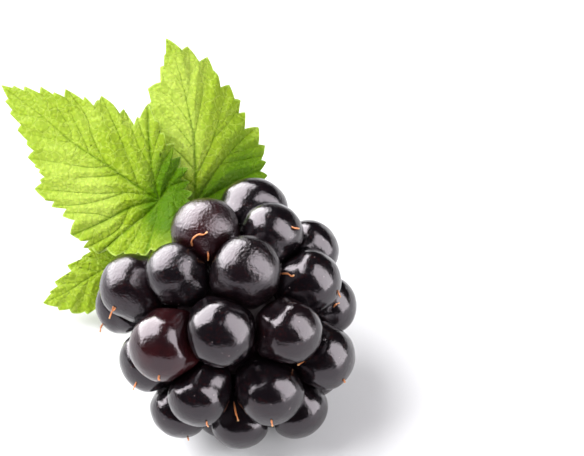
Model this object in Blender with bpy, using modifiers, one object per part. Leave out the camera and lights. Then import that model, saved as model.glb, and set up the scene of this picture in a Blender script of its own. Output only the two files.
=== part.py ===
"""A ripe bramble berry, picked with its stalk and three young leaves, lying on its side.

Many small drupelets sit round a pale core. The core's neck ends in a five-pointed calyx, the
stalk leaves the calyx, and three toothed leaves stand on the stalk behind the berry.
The built part is in metres, +Z up, and the berry lies on Z = 0 with its tip toward -Y. The
lengths below are in millimetres, and the angles of the tables are in degrees.
"""

import math

import bmesh
import bpy
from mathutils import Matrix, Vector

MM = 0.001
COLLECTION_NAME = "bramble_berry"
CUTTERS_NAME = "bramble_berry_cutters"
MERGE_DISTANCE = 0.01

# The berry: an egg shape, blunter at the stalk, on which the middles of the drupelets lie.
BERRY_HALF_WIDTH = 9.5
TIP_HALF_LENGTH = 10.4
STALK_HALF_LENGTH = 8.8
BERRY_X = 5.1
BERRY_Y = -6.97
TIP_DIP = math.radians(15)
TIP_TURN = math.radians(28)
SQUASH = 0.45
GAP = 0.34

# Each row holds a drupelet's degrees toward the tip, its degrees round the axis (0 is the right
# side and 90 is the upper side), its radius and how far it stands proud of the egg shape.
DRUPELETS = (
    (46, 173, 2.8, 0.1),
    (85, 100, 3.0, 0.1),
    (58, -125, 2.8, 0.4),
    (33, 113, 3.1, -0.1),
    (17, 150, 3.2, 0.2),
    (7, -178, 2.9, -0.5),
    (30, -153, 2.8, 0.6),
    (65, -57, 2.9, 1.4),
    (53, 6, 3.0, 1.0),
    (47, 60, 2.9, 0.2),
    (37, -73, 3.0, 0.8),
    (32, -111, 3.0, 0.1),
    (12, -133, 2.6, -0.7),
    (8, 79, 3.1, 0.0),
    (-16, 118, 2.7, -0.4),
    (-35, 157, 3.0, 0.7),
    (-42, -166, 2.9, 1.5),
    (16, 31, 2.9, 0.2),
    (18, -2, 2.7, 0.8),
    (41, -35, 2.9, 0.4),
    (9, -80, 3.0, 0.0),
    (-14, -117, 3.1, 0.3),
    (-12, -149, 2.7, -0.4),
    (-33, 87, 3.2, 0.3),
    (-16, 47, 2.9, 0.4),
    (-10, 13, 2.8, 1.2),
    (-5, -20, 2.9, 0.0),
    (14, -45, 3.0, 0.0),
    (-25, -48, 3.0, 0.0),
    (-23, -85, 3.0, 0.0),
    (-48, -123, 3.0, 0.0),
    (-63, 82, 2.4, -0.3),
    (-45, 32, 3.4, 1.6),
    (-39, -11, 3.0, 0.2),
    (-73, -1, 2.9, 0.0),
    (-56, -69, 2.9, 0.0),
)
# A drupelet's outer side is a little flat: its share of the radius outward and sideways.
OUTWARD_SHARE = 0.92
SIDEWAYS_SHARE = 1.04
DRUPELET_INNER_DEPTH = 1.2
DRUPELET_INNER_SWELL = 1.3
DRUPELET_CRISPNESS = 14
DRUPELET_SEGMENTS = 16
DRUPELET_RINGS = 11
NEIGHBOUR_REACH = 2.4
NECK_ROOM = 1.6

# The core, as radius and distance toward the tip. Its narrow neck reaches the calyx.
CORE_PROFILE = (
    (0.0, 6.2),
    (1.9, 5.8),
    (3.5, 4.6),
    (4.6, 2.6),
    (4.9, 0.0),
    (4.2, -2.2),
    (2.3, -4.0),
    (1.3, -5.4),
    (1.15, -7.2),
    (1.1, -10.5),
    (0.0, -10.5),
)
CORE_STEPS = 20

# The calyx: five sepals bent back along the stalk, in one piece with their disc. The bend is
# the share of a sepal's length that it gives up sideways.
CALYX_AXIAL = -10.8
CALYX_ROOM = 0.3
CALYX_DISC = 0.95
SEPAL_COUNT = 5
SEPAL_LENGTH = 1.8
SEPAL_BEND = 0.7
SEPAL_ROUNDNESS = 0.9
CALYX_THICKNESS = 0.35
CALYX_RINGS = (0.3, 0.65, 1.0)
CALYX_STEPS = 60

# The leaves stand in a fan that leans back behind the berry. Places in the fan are across,
# up the slope and out of the slope, from the middle of the berry.
FAN_LEAN = math.radians(40)

# The stalk in the fan, from the calyx to its cut end behind the leaves.
STALK_ROUTE = (
    (-5.05, 8.3, -5.45),
    (-5.4, 8.9, -6.0),
    (-5.8, 9.5, -6.9),
    (-6.1, 9.9, -8.1),
    (-6.3, 10.1, -9.4),
    (-6.35, 10.2, -10.6),
)
STALK_RADIUS = 0.75
PETIOLE_RADIUS = 0.42
PETIOLE_INTO_BLADE = 1.1
TUBE_ROUND = 2

# Each leaf's blade falls away from its base toward the tip (slope), toward every side (bend)
# and on each side of its midrib (folds). The midrib's angle is given at the base, with its
# turn for each millimetre. A blade may also droop on one side of an angle (droop) and rise
# round another (rise); both come as that angle and an amount. The edge goes round the leaf
# as degrees and distance from the base, with a row for each tooth and each notch.
LEAF_THICKNESS = 0.4
LEAF_RINGS = (0.32, 0.68, 1.0)
LEAVES = {
    "leaf_left": {
        "base": (-6.7, 11.2, -5.0),
        "petiole_end": (-6.3, 10.8, -7.3),
        "midrib": (145, 0.0),
        "slope": 0.0,
        "bend": 0.010,
        "folds": (0.12, 0.20),
        "droop": (93, 0.22),
        "rise": (300, 1.0),
        "edge": (
            (-14, 2.6), (-5, 3.3), (3, 2.7), (13, 3.4), (24, 2.6), (33, 3.5), (46, 2.9),
            (49, 4.3), (61, 3.7), (65, 4.8), (74, 4.3), (76, 5.9), (84, 5.6), (87, 6.8),
            (89.5, 6.7), (91, 7.9), (94, 8.1), (97.5, 9.8), (104, 8.5), (105.5, 8.7),
            (109, 8.0), (110.5, 8.9), (112, 9.9), (115, 9.6), (116, 10.7), (119.5, 12.1),
            (121.5, 11.8), (122.5, 11.9), (125, 11.6), (126, 12.9), (127.5, 12.7),
            (130.5, 14.8), (133, 14.2), (134.5, 15.3), (135.3, 15.2), (136.5, 16.7),
            (138.5, 16.3), (140, 18.0), (141.3, 17.8), (142, 18.9), (142.8, 18.9),
            (144.2, 20.0), (146.3, 18.6), (147.6, 18.7), (148.5, 17.6), (150.1, 17.6),
            (151.5, 16.0), (153.9, 16.1), (155.8, 14.7), (157.3, 14.6), (158.5, 13.7),
            (162, 14.1), (164, 13.1), (165, 13.1), (165.6, 12.5), (167, 12.5),
            (168.4, 11.9), (170.2, 12.3), (171.5, 12.1), (174.6, 12.8), (179, 11.7),
            (179.8, 11.6), (180.4, 10.7), (183.3, 11.0), (185, 9.5), (189, 10.0),
            (193, 8.8), (200, 9.7), (205, 9.1), (206.9, 9.0), (208.9, 8.2), (211, 9.1),
            (214.7, 8.4), (220.5, 8.2), (221.5, 7.2), (231.5, 7.1), (235, 6.3), (243, 6.5),
            (248, 5.6), (256, 5.7), (261, 4.9), (270, 5.0), (276, 4.2), (286, 4.4),
            (293, 3.6), (303, 3.7), (312, 2.9), (322, 2.9), (331, 2.2), (338, 1.2),
        ),
    },
    "leaf_upper": {
        "base": (-3.5, 10.7, -8.0),
        "petiole_end": (-5.0, 10.3, -9.5),
        "midrib": (85.5, 0.8),
        "slope": 0.08,
        "bend": 0.004,
        "folds": (0.45, 0.20),
        "droop": (0, 0.0),
        "rise": (0, 0.0),
        "edge": (
            (-70, 1.4), (-55, 2.6), (-42, 3.4), (-36, 3.2), (-24, 4.8), (-18, 4.6),
            (-8, 6.2), (-2, 5.9), (6, 7.3), (12, 6.9), (17, 7.9), (20, 7.4), (22.5, 8.1),
            (28, 7.6), (31.5, 8.6), (34.5, 8.3), (40.5, 9.5), (44, 9.1), (51, 10.4),
            (57, 9.4), (61.5, 10.9), (64.5, 10.5), (66.5, 11.8), (69.5, 11.7),
            (74, 12.9), (77.5, 12.4), (79.5, 13.5), (82, 14.0), (85, 15.3), (88, 14.7),
            (92.5, 16.3), (94.5, 15.9), (97, 16.7), (99.5, 17.3), (100.3, 15.8),
            (101.3, 15.5), (101.9, 14.6), (103.7, 14.5), (105, 13.0), (111.5, 12.8),
            (112.2, 11.4), (114, 11.2), (114.6, 9.6), (119, 9.2), (120, 7.3), (126, 6.7),
            (129, 5.0), (139, 4.3), (148, 2.9), (160, 2.4), (175, 1.7), (195, 1.5),
            (215, 1.4), (240, 1.3), (262, 1.0),
        ),
    },
    "leaf_lower": {
        "base": (-7.9, 7.4, -9.5),
        "petiole_end": (-6.9, 8.9, -8.9),
        "midrib": (212, 0.0),
        "slope": 0.45,
        "bend": 0.0,
        "folds": (0.12, 0.14),
        "droop": (0, 0.0),
        "rise": (0, 0.0),
        "edge": (
            (32, 0.9), (60, 1.8), (90, 2.2), (110, 2.0), (130, 2.6), (142, 2.5),
            (154, 3.3), (161, 3.2), (168, 4.4), (174, 4.3), (179, 5.5), (183.5, 5.4),
            (188, 6.6), (192, 6.4), (194.5, 7.4), (196.3, 7.6), (197.4, 9.2), (202, 9.0),
            (203.8, 11.1), (206.8, 11.0), (207.4, 12.1), (208.3, 12.0), (210.4, 13.3),
            (215.6, 12.2), (217.5, 12.3), (220.4, 11.3), (222.7, 11.4), (225.9, 10.8),
            (227.2, 10.3), (229.5, 10.3), (231.2, 9.3), (235.8, 8.9), (236.8, 7.9),
            (243, 7.2), (244.5, 5.9), (252, 5.2), (255, 3.8), (272, 3.0), (280, 1.9),
            (310, 1.7), (340, 1.4), (375, 1.3),
        ),
    },
}

# The pieces' plain colours, and how rough each one's skin is.
DRUPELET_COLOR = (0.012, 0.006, 0.010)
CORE_COLOR = (0.62, 0.60, 0.38)
CALYX_COLOR = (0.24, 0.36, 0.10)
STALK_COLOR = (0.20, 0.34, 0.06)
LEAF_COLOR = (0.30, 0.55, 0.05)
DRUPELET_ROUGHNESS = 0.18
CORE_ROUGHNESS = 0.6
CALYX_ROUGHNESS = 0.8
STALK_ROUGHNESS = 0.6
LEAF_ROUGHNESS = 0.5


def clear_scene():
    """Remove every object that the file opened with."""
    for item in list(bpy.data.objects):
        bpy.data.objects.remove(item, do_unlink=True)


def make_collection(name):
    """Add an empty collection to the scene."""
    collection = bpy.data.collections.new(name)
    bpy.context.scene.collection.children.link(collection)
    return collection


def make_material(name, color, roughness):
    """Give one piece its own plain Principled material."""
    material = bpy.data.materials.new(name)
    material.use_nodes = True
    shader = material.node_tree.nodes["Principled BSDF"]
    shader.inputs["Base Color"].default_value = (*color, 1.0)
    shader.inputs["Roughness"].default_value = roughness
    shader.inputs["Metallic"].default_value = 0.0
    return material


def add_object(name, data, collection, color=None, roughness=None):
    """Put a mesh or curve in a collection under its own name, with its own material."""
    item = bpy.data.objects.new(name, data)
    collection.objects.link(item)
    if color is not None:
        data.materials.append(make_material(name + "_skin", color, roughness))
    return item


def mesh_from_bmesh(name, shape):
    """Turn a finished bmesh in millimetres into smooth mesh data in metres."""
    shape.normal_update()
    bmesh.ops.recalc_face_normals(shape, faces=shape.faces)
    bmesh.ops.scale(shape, vec=(MM, MM, MM), verts=shape.verts)
    mesh = bpy.data.meshes.new(name)
    shape.to_mesh(mesh)
    shape.free()
    mesh.shade_smooth()
    return mesh


def berry_axes():
    """Return the berry's directions: right, upper side and tip."""
    tip = Vector((
        math.sin(TIP_TURN) * math.cos(TIP_DIP),
        -math.cos(TIP_TURN) * math.cos(TIP_DIP),
        -math.sin(TIP_DIP),
    ))
    right = (Vector((1, 0, 0)) - tip * tip.x).normalized()
    return right, tip.cross(right), tip


def drupelet_middle(toward_tip, turn, proud):
    """Return where a drupelet's middle lies from the middle of the berry, in millimetres."""
    right, upper, tip = berry_axes()
    high = math.radians(toward_tip)
    around = math.radians(turn)
    half_length = TIP_HALF_LENGTH if toward_tip > 0 else STALK_HALF_LENGTH
    place = (
        right * (BERRY_HALF_WIDTH * math.cos(high) * math.cos(around))
        + upper * (BERRY_HALF_WIDTH * math.cos(high) * math.sin(around))
        + tip * (half_length * math.sin(high))
    )
    return place + place.normalized() * proud


def berry_height(middles):
    """Return how high the berry's middle lies when its lowest drupelets are a little flat."""
    reach = max(row[2] - middle.z for row, middle in zip(DRUPELETS, middles))
    return reach - SQUASH


def pressing_planes(index, middles):
    """List what presses on one drupelet: the core, its neighbours, the neck and the calyx."""
    middle = middles[index]
    radius = DRUPELETS[index][2]
    planes = [(-middle.normalized(), radius * DRUPELET_INNER_DEPTH)]
    for other, place in enumerate(middles):
        apart = (place - middle).length
        if other == index or apart > NEIGHBOUR_REACH * radius + DRUPELETS[other][2]:
            continue
        share = radius / (radius + DRUPELETS[other][2])
        planes.append(((place - middle).normalized(), apart * share - GAP / 2))
    tip = berry_axes()[2]
    axial = middle.dot(tip)
    from_axis = middle - tip * axial
    if axial < 0:
        planes.append((-tip, axial - CALYX_AXIAL - CALYX_ROOM))
        if from_axis.length < NECK_ROOM + radius:
            planes.append((-from_axis.normalized(), from_axis.length - NECK_ROOM))
    return planes


def free_distance(direction, radius, outward):
    """Return how far a drupelet's skin lies from its middle where nothing presses on it.

    Its outer side is a little flat. Its inner side swells toward the core, so that the
    drupelets close up under their round tops.
    """
    facing = direction.dot(outward)
    sideways = SIDEWAYS_SHARE * radius
    if facing < 0:
        return sideways * (1 + DRUPELET_INNER_SWELL * facing * facing)
    flat = facing / OUTWARD_SHARE
    round_it = math.sqrt(1 - min(1.0, facing * facing)) / SIDEWAYS_SHARE
    return radius / math.hypot(flat, round_it)


def skin_distance(direction, radius, outward, planes):
    """Return how far a drupelet's skin lies from its middle, pressed flat by the planes."""
    total = free_distance(direction, radius, outward) ** -DRUPELET_CRISPNESS
    for normal, distance in planes:
        facing = max(0.0, direction.dot(normal))
        total += (facing / distance) ** DRUPELET_CRISPNESS
    return total ** (-1 / DRUPELET_CRISPNESS)


def build_drupelets(collection, centre, middles):
    """Make the drupelets, each squeezed by its neighbours and flat where it meets the floor."""
    for index, (row, middle) in enumerate(zip(DRUPELETS, middles)):
        planes = pressing_planes(index, middles)
        outward = middle.normalized()
        shape = bmesh.new()
        bmesh.ops.create_uvsphere(
            shape, u_segments=DRUPELET_SEGMENTS, v_segments=DRUPELET_RINGS, radius=1.0
        )
        turn = outward.to_track_quat("Z", "Y")
        for vertex in shape.verts:
            direction = turn @ vertex.co.normalized()
            place = middle + direction * skin_distance(direction, row[2], outward, planes)
            place += centre
            place.z = max(place.z, 0.0)
            vertex.co = place
        name = f"drupelet_{index + 1:02d}"
        mesh = mesh_from_bmesh(name, shape)
        add_object(name, mesh, collection, DRUPELET_COLOR, DRUPELET_ROUGHNESS)


def build_core(collection, centre):
    """Turn the pale core and its neck on the berry's axis."""
    name = "receptacle"
    profile = bmesh.new()
    corners = [profile.verts.new((radius * MM, 0, high * MM)) for radius, high in CORE_PROFILE]
    for first, second in zip(corners, corners[1:]):
        profile.edges.new((first, second))
    mesh = bpy.data.meshes.new(name)
    profile.to_mesh(mesh)
    profile.free()
    core = add_object(name, mesh, collection, CORE_COLOR, CORE_ROUGHNESS)
    screw = core.modifiers.new("turned", "SCREW")
    screw.steps = CORE_STEPS
    screw.render_steps = CORE_STEPS
    screw.use_merge_vertices = True
    screw.merge_threshold = MERGE_DISTANCE * MM
    right, upper, tip = berry_axes()
    turn = Matrix((right, upper, tip)).transposed().to_4x4()
    core.matrix_world = Matrix.Translation(centre * MM) @ turn


def sepal_reach(angle):
    """Return how far the calyx reaches from its middle at an angle, in millimetres."""
    wave = abs(math.cos(angle * SEPAL_COUNT / 2))
    return CALYX_DISC + SEPAL_LENGTH * wave**SEPAL_ROUNDNESS


def build_calyx(collection, centre):
    """Make the calyx: a disc whose five sepals bend back along the stalk."""
    name = "calyx"
    right, upper, tip = berry_axes()
    hub = centre + tip * CALYX_AXIAL
    shape = bmesh.new()

    def calyx_point(angle, share):
        far = sepal_reach(angle) * share
        flat = min(far, CALYX_DISC)
        past = far - flat
        across = flat + past * (1 - SEPAL_BEND)
        back = past * math.sqrt(1 - (1 - SEPAL_BEND) ** 2)
        aside = right * math.cos(angle) + upper * math.sin(angle)
        return hub + aside * across - tip * back

    middle = shape.verts.new(hub)
    rows = []
    for share in CALYX_RINGS:
        angles = [2 * math.pi * step / CALYX_STEPS for step in range(CALYX_STEPS)]
        rows.append([shape.verts.new(calyx_point(angle, share)) for angle in angles])
    close_fan(shape, middle, rows)
    mesh = mesh_from_bmesh(name, shape)
    calyx = add_object(name, mesh, collection, CALYX_COLOR, CALYX_ROUGHNESS)
    thicken(calyx, CALYX_THICKNESS)


def close_fan(shape, middle, rows):
    """Join a middle point and the closed rows round it with faces."""
    count = len(rows[0])
    for step in range(count):
        after = (step + 1) % count
        shape.faces.new((middle, rows[0][step], rows[0][after]))
        for inner, outer in zip(rows, rows[1:]):
            shape.faces.new((inner[step], outer[step], outer[after], inner[after]))


def thicken(item, thickness):
    """Give an open sheet its thickness, half to each side."""
    solid = item.modifiers.new("thickness", "SOLIDIFY")
    solid.thickness = thickness * MM
    solid.offset = 0.0


def make_tube(name, points, radius, collection):
    """Lay a round tube with closed ends along some points, in millimetres."""
    curve = bpy.data.curves.new(name, "CURVE")
    curve.dimensions = "3D"
    curve.bevel_depth = radius * MM
    curve.bevel_resolution = TUBE_ROUND
    curve.use_fill_caps = True
    spline = curve.splines.new("POLY")
    spline.points.add(len(points) - 1)
    for target, point in zip(spline.points, points):
        target.co = (*(point * MM), 1.0)
    return add_object(name, curve, collection)


def build_stalk(collection, centre):
    """Make the stalk from the calyx to its cut end."""
    points = [centre + fan_place(*point) for point in STALK_ROUTE]
    stalk = make_tube("fruit_stalk", points, STALK_RADIUS, collection)
    stalk.data.materials.append(make_material("fruit_stalk_skin", STALK_COLOR, STALK_ROUGHNESS))


def fan_place(across, up, out):
    """Return where a place in the leaning fan is, from the middle of the berry."""
    return Vector((
        across,
        up * math.sin(FAN_LEAN) - out * math.cos(FAN_LEAN),
        up * math.cos(FAN_LEAN) + out * math.sin(FAN_LEAN),
    ))


def leaf_place(leaf, angle, far):
    """Return where a point of the leaf is, from its base's polar angle and distance."""
    turn = math.radians(angle)
    midrib_angle, midrib_turn = leaf["midrib"]
    beside = math.radians(angle - midrib_angle - midrib_turn * far)
    fold = leaf["folds"][0] if math.sin(beside) < 0 else leaf["folds"][1]
    droop_angle, droop = leaf["droop"]
    drooping = max(0.0, math.sin(math.radians(droop_angle) - turn))
    rise_angle, rise = leaf["rise"]
    rising = max(0.0, math.cos(turn - math.radians(rise_angle))) ** 2
    tilt = (
        rise * rising
        - droop * drooping
        - leaf["slope"] * math.cos(beside)
        - fold * abs(math.sin(beside))
    )
    across, up, out = leaf["base"]
    return fan_place(
        across + far * math.cos(turn),
        up + far * math.sin(turn),
        out + far * tilt - leaf["bend"] * far * far,
    )


def build_leaf(name, leaf, collection, cutters, centre):
    """Make one toothed leaf in one piece with its own short petiole."""
    shape = bmesh.new()
    middle = shape.verts.new(centre + leaf_place(leaf, 0, 0))
    rows = []
    for share in LEAF_RINGS:
        places = [leaf_place(leaf, angle, far * share) for angle, far in leaf["edge"]]
        rows.append([shape.verts.new(centre + place) for place in places])
    close_fan(shape, middle, rows)
    mesh = mesh_from_bmesh(name, shape)
    blade = add_object(name, mesh, collection, LEAF_COLOR, LEAF_ROUGHNESS)
    thicken(blade, LEAF_THICKNESS)

    inside = leaf_place(leaf, leaf["midrib"][0], PETIOLE_INTO_BLADE)
    base = leaf_place(leaf, 0, 0)
    points = [centre + place for place in (inside, base, fan_place(*leaf["petiole_end"]))]
    tube = make_tube(name + "_petiole_curve", points, PETIOLE_RADIUS, cutters)
    petiole = solid_from_curve(tube, name + "_petiole", cutters)
    joined = blade.modifiers.new("petiole", "BOOLEAN")
    joined.operation = "UNION"
    joined.solver = "EXACT"
    joined.object = petiole


def solid_from_curve(tube, name, cutters):
    """Turn a tube into a closed mesh that a Boolean can use, and remove the curve."""
    bpy.context.view_layer.update()
    seen = tube.evaluated_get(bpy.context.evaluated_depsgraph_get())
    mesh = bpy.data.meshes.new_from_object(seen)
    shape = bmesh.new()
    shape.from_mesh(mesh)
    bmesh.ops.remove_doubles(shape, verts=shape.verts, dist=MERGE_DISTANCE * MM)
    shape.normal_update()
    bmesh.ops.recalc_face_normals(shape, faces=shape.faces)
    shape.to_mesh(mesh)
    shape.free()
    solid = bpy.data.objects.new(name, mesh)
    solid.matrix_world = tube.matrix_world
    solid.hide_render = True
    solid.display_type = "WIRE"
    cutters.objects.link(solid)
    bpy.data.objects.remove(tube, do_unlink=True)
    return solid


def main():
    """Build the berry, its stalk and its leaves."""
    clear_scene()
    berry = make_collection(COLLECTION_NAME)
    cutters = make_collection(CUTTERS_NAME)
    middles = [drupelet_middle(row[0], row[1], row[3]) for row in DRUPELETS]
    centre = Vector((BERRY_X, BERRY_Y, berry_height(middles)))
    build_drupelets(berry, centre, middles)
    build_core(berry, centre)
    build_calyx(berry, centre)
    build_stalk(berry, centre)
    for name, leaf in LEAVES.items():
        build_leaf(name, leaf, berry, cutters, centre)


main()
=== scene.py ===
"""A ripe bramble berry on a white table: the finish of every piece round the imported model.

The drupelets, their dried styles, the core, the calyx, the stalk and the three leaves each have
their own operator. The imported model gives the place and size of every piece.
"""

import math
import random

import bmesh
import bpy
import numpy as np
from bpy.props import FloatProperty, FloatVectorProperty, IntProperty, PointerProperty
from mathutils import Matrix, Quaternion, Vector, noise


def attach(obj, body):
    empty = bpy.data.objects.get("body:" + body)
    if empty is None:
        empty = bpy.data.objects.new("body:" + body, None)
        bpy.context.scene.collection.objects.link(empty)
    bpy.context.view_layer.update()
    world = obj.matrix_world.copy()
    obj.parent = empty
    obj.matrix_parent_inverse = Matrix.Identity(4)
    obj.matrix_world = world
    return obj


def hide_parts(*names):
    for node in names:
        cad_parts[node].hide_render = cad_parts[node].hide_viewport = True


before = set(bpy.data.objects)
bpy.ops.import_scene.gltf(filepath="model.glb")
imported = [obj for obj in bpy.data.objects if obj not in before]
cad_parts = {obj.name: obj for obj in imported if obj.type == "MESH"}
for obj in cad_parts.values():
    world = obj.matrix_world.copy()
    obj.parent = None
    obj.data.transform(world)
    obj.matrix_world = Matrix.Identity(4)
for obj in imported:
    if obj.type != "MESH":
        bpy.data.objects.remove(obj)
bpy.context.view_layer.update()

bl_info = {
    "name": "Bramble Berry",
    "version": (1, 0, 0),
    "blender": (4, 5, 0),
    "location": "View3D > Sidebar > Bramble Berry",
    "description": "Builds a ripe bramble berry with its leaves on a white table",
    "category": "Object",
}

MM = 0.001
BODY = "root"

# The berry's axis: its tip points toward -Y, to the right and a little down.
TIP_DIP = math.radians(15)
TIP_TURN = math.radians(28)
CORE_TIP = 6.2
DRUPELET_COUNT = sum(name.startswith("drupelet_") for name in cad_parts)

# How a drupelet's skin is pressed by its neighbours, and how much it swells below them. Its
# outer side is a little flat: its share of the radius outward and sideways.
OUTWARD_SHARE = 0.92
SIDEWAYS_SHARE = 1.04
NEIGHBOUR_REACH = 2.4
SKIN_GAP = 0.2
SKIN_CRISPNESS = 13
INNER_DEPTH = 1.15
INNER_SWELL = 1.3
NECK_ROOM = 1.7
CALYX_ROOM = 0.25
SKIN_FINENESS = 5

# The redder and the duller drupelets, and how red or dull each is. Those in the last row are out
# of sight and get a dried style of their own.
RED_DRUPELETS = {5: 1.0, 24: 0.75, 10: 0.12, 14: 0.08, 16: 0.12}
DULL_DRUPELETS = {24: 1.0, 14: 0.6, 15: 0.6, 16: 0.5, 33: 0.2, 25: 0.2}
HIDDEN_DRUPELETS = (21, 29, 30, 31, 34, 35, 36)

# Soft dents in a drupelet's skin, as depth and width, and the lowest that a skin may reach.
WIDE_DENTS = (0.045, 1.5)
SMALL_DENTS = (0.018, 0.55)
SKIN_LOWEST = 0.01

# Dried styles on the upper side: the drupelet each stands on and its route in millimetres from
# that drupelet's middle. Places are across, up the leaning fan and out of it.
STYLES = (
    (5, ((-0.2, -2.5, 1.8), (-0.3, -2.8, 1.7), (-0.2, -2.95, 1.4))),
    (1, ((0.9, -2.1, 1.5), (0.9, -2.3, 1.5), (1.0, -2.6, 0.8))),
    (6, ((-1.0, -1.8, 1.8), (-1.15, -2.15, 1.6), (-1.35, -2.6, 1.1))),
    (7, ((0.85, -2.5, 0.8), (0.9, -2.8, 0.6))),
    (2, ((-0.1, -2.2, 1.7), (-0.05, -2.5, 1.6), (0.0, -2.8, 1.1))),
    (9, ((1.7, -1.9, 1.3), (1.8, -2.2, 0.9))),
    (16, ((-1.3, -2.0, 2.0), (-1.4, -2.35, 1.9), (-1.55, -2.65, 1.5), (-1.75, -3.15, 1.1))),
    (16, ((-1.1, -2.1, 2.0), (-1.2, -2.25, 2.0), (-1.4, -2.4, 1.85))),
    (18, ((2.4, -1.0, 1.1), (2.5, -1.3, 0.9), (2.65, -1.6, 0.4))),
    (19, ((0.2, -0.1, 2.6), (0.4, 0.15, 2.9), (0.75, 0.3, 2.8))),
    (3, ((-0.5, 1.9, 2.2), (-0.4, 1.2, 2.9), (-0.25, 0.75, 3.1), (-0.15, 0.4, 3.0))),
    (9, ((-1.2, 0.7, 2.6), (-1.8, 0.2, 2.8), (-2.2, -0.15, 2.5), (-2.55, -0.45, 2.0))),
    (18, ((-2.5, 0.55, 1.6), (-2.2, 0.6, 2.1), (-1.95, 0.4, 2.4), (-1.75, 0.5, 2.5))),
    (25, ((1.8, 0.4, 2.1), (2.1, 0.3, 2.3), (2.5, 0.25, 1.8))),
    (24, ((-1.1, -1.55, 2.6), (-1.15, -1.15, 3.0), (-0.95, -0.8, 3.2), (-0.5, -0.5, 3.3),
          (0.0, -0.5, 3.35), (0.35, -0.25, 3.3))),
    (24, ((0.35, -2.0, 2.4), (0.4, -2.35, 2.4), (0.35, -2.7, 1.8))),
    (17, ((-1.9, -1.95, 1.1), (-2.1, -2.3, 0.8), (-2.2, -2.75, 0.6))),
)
STYLE_RADIUS = 0.085
STYLE_LIFT = 0.07
STYLE_SIDES = 8
STYLE_STEPS = 18
HIDDEN_STYLE_LENGTH = (0.5, 1.4)

# The core, as radius and distance toward the tip.
CORE_PROFILE = (
    (0.0, 6.2), (1.9, 5.8), (3.5, 4.6), (4.6, 2.6), (4.9, 0.0), (4.2, -2.2), (2.3, -4.0),
    (1.3, -5.4), (1.15, -7.2), (1.1, -10.5), (0.0, -10.5),
)
CORE_SIDES = 96
CORE_STEPS = 90

# The calyx: five sepals bent back along the stalk.
CALYX_AXIAL = -10.8
CALYX_DISC = 0.95
SEPAL_COUNT = 5
SEPAL_LENGTH = 1.8
SEPAL_BEND = 0.7
CALYX_THICKNESS = 0.3
CALYX_SIDES = 240
CALYX_RINGS = 26
CALYX_HAIRS = 500
HAIR_RADII = (0.014, 0.011, 0.004)
HAIR_SIDES = 4

# The stalk's route in the fan of leaves, and its small prickles: each one's share of the way
# along, its degrees round the stalk and its length.
STALK_ROUTE = (
    (-4.9, 8.1, -5.3), (-5.4, 8.9, -6.0), (-5.8, 9.5, -6.9), (-6.1, 9.9, -8.1),
    (-6.3, 10.1, -9.4), (-6.35, 10.2, -10.6),
)
STALK_RADIUS = 0.72
STALK_SIDES = 40
STALK_STEPS = 60
PRICKLES = (
    (0.30, 200, 0.5), (0.48, 250, 0.5), (0.66, 150, 0.45), (0.80, 300, 0.5), (0.9, 60, 0.4),
)
PRICKLE_RADII = (0.17, 0.11, 0.055, 0.012)
PRICKLE_SIDES = 12

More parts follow.
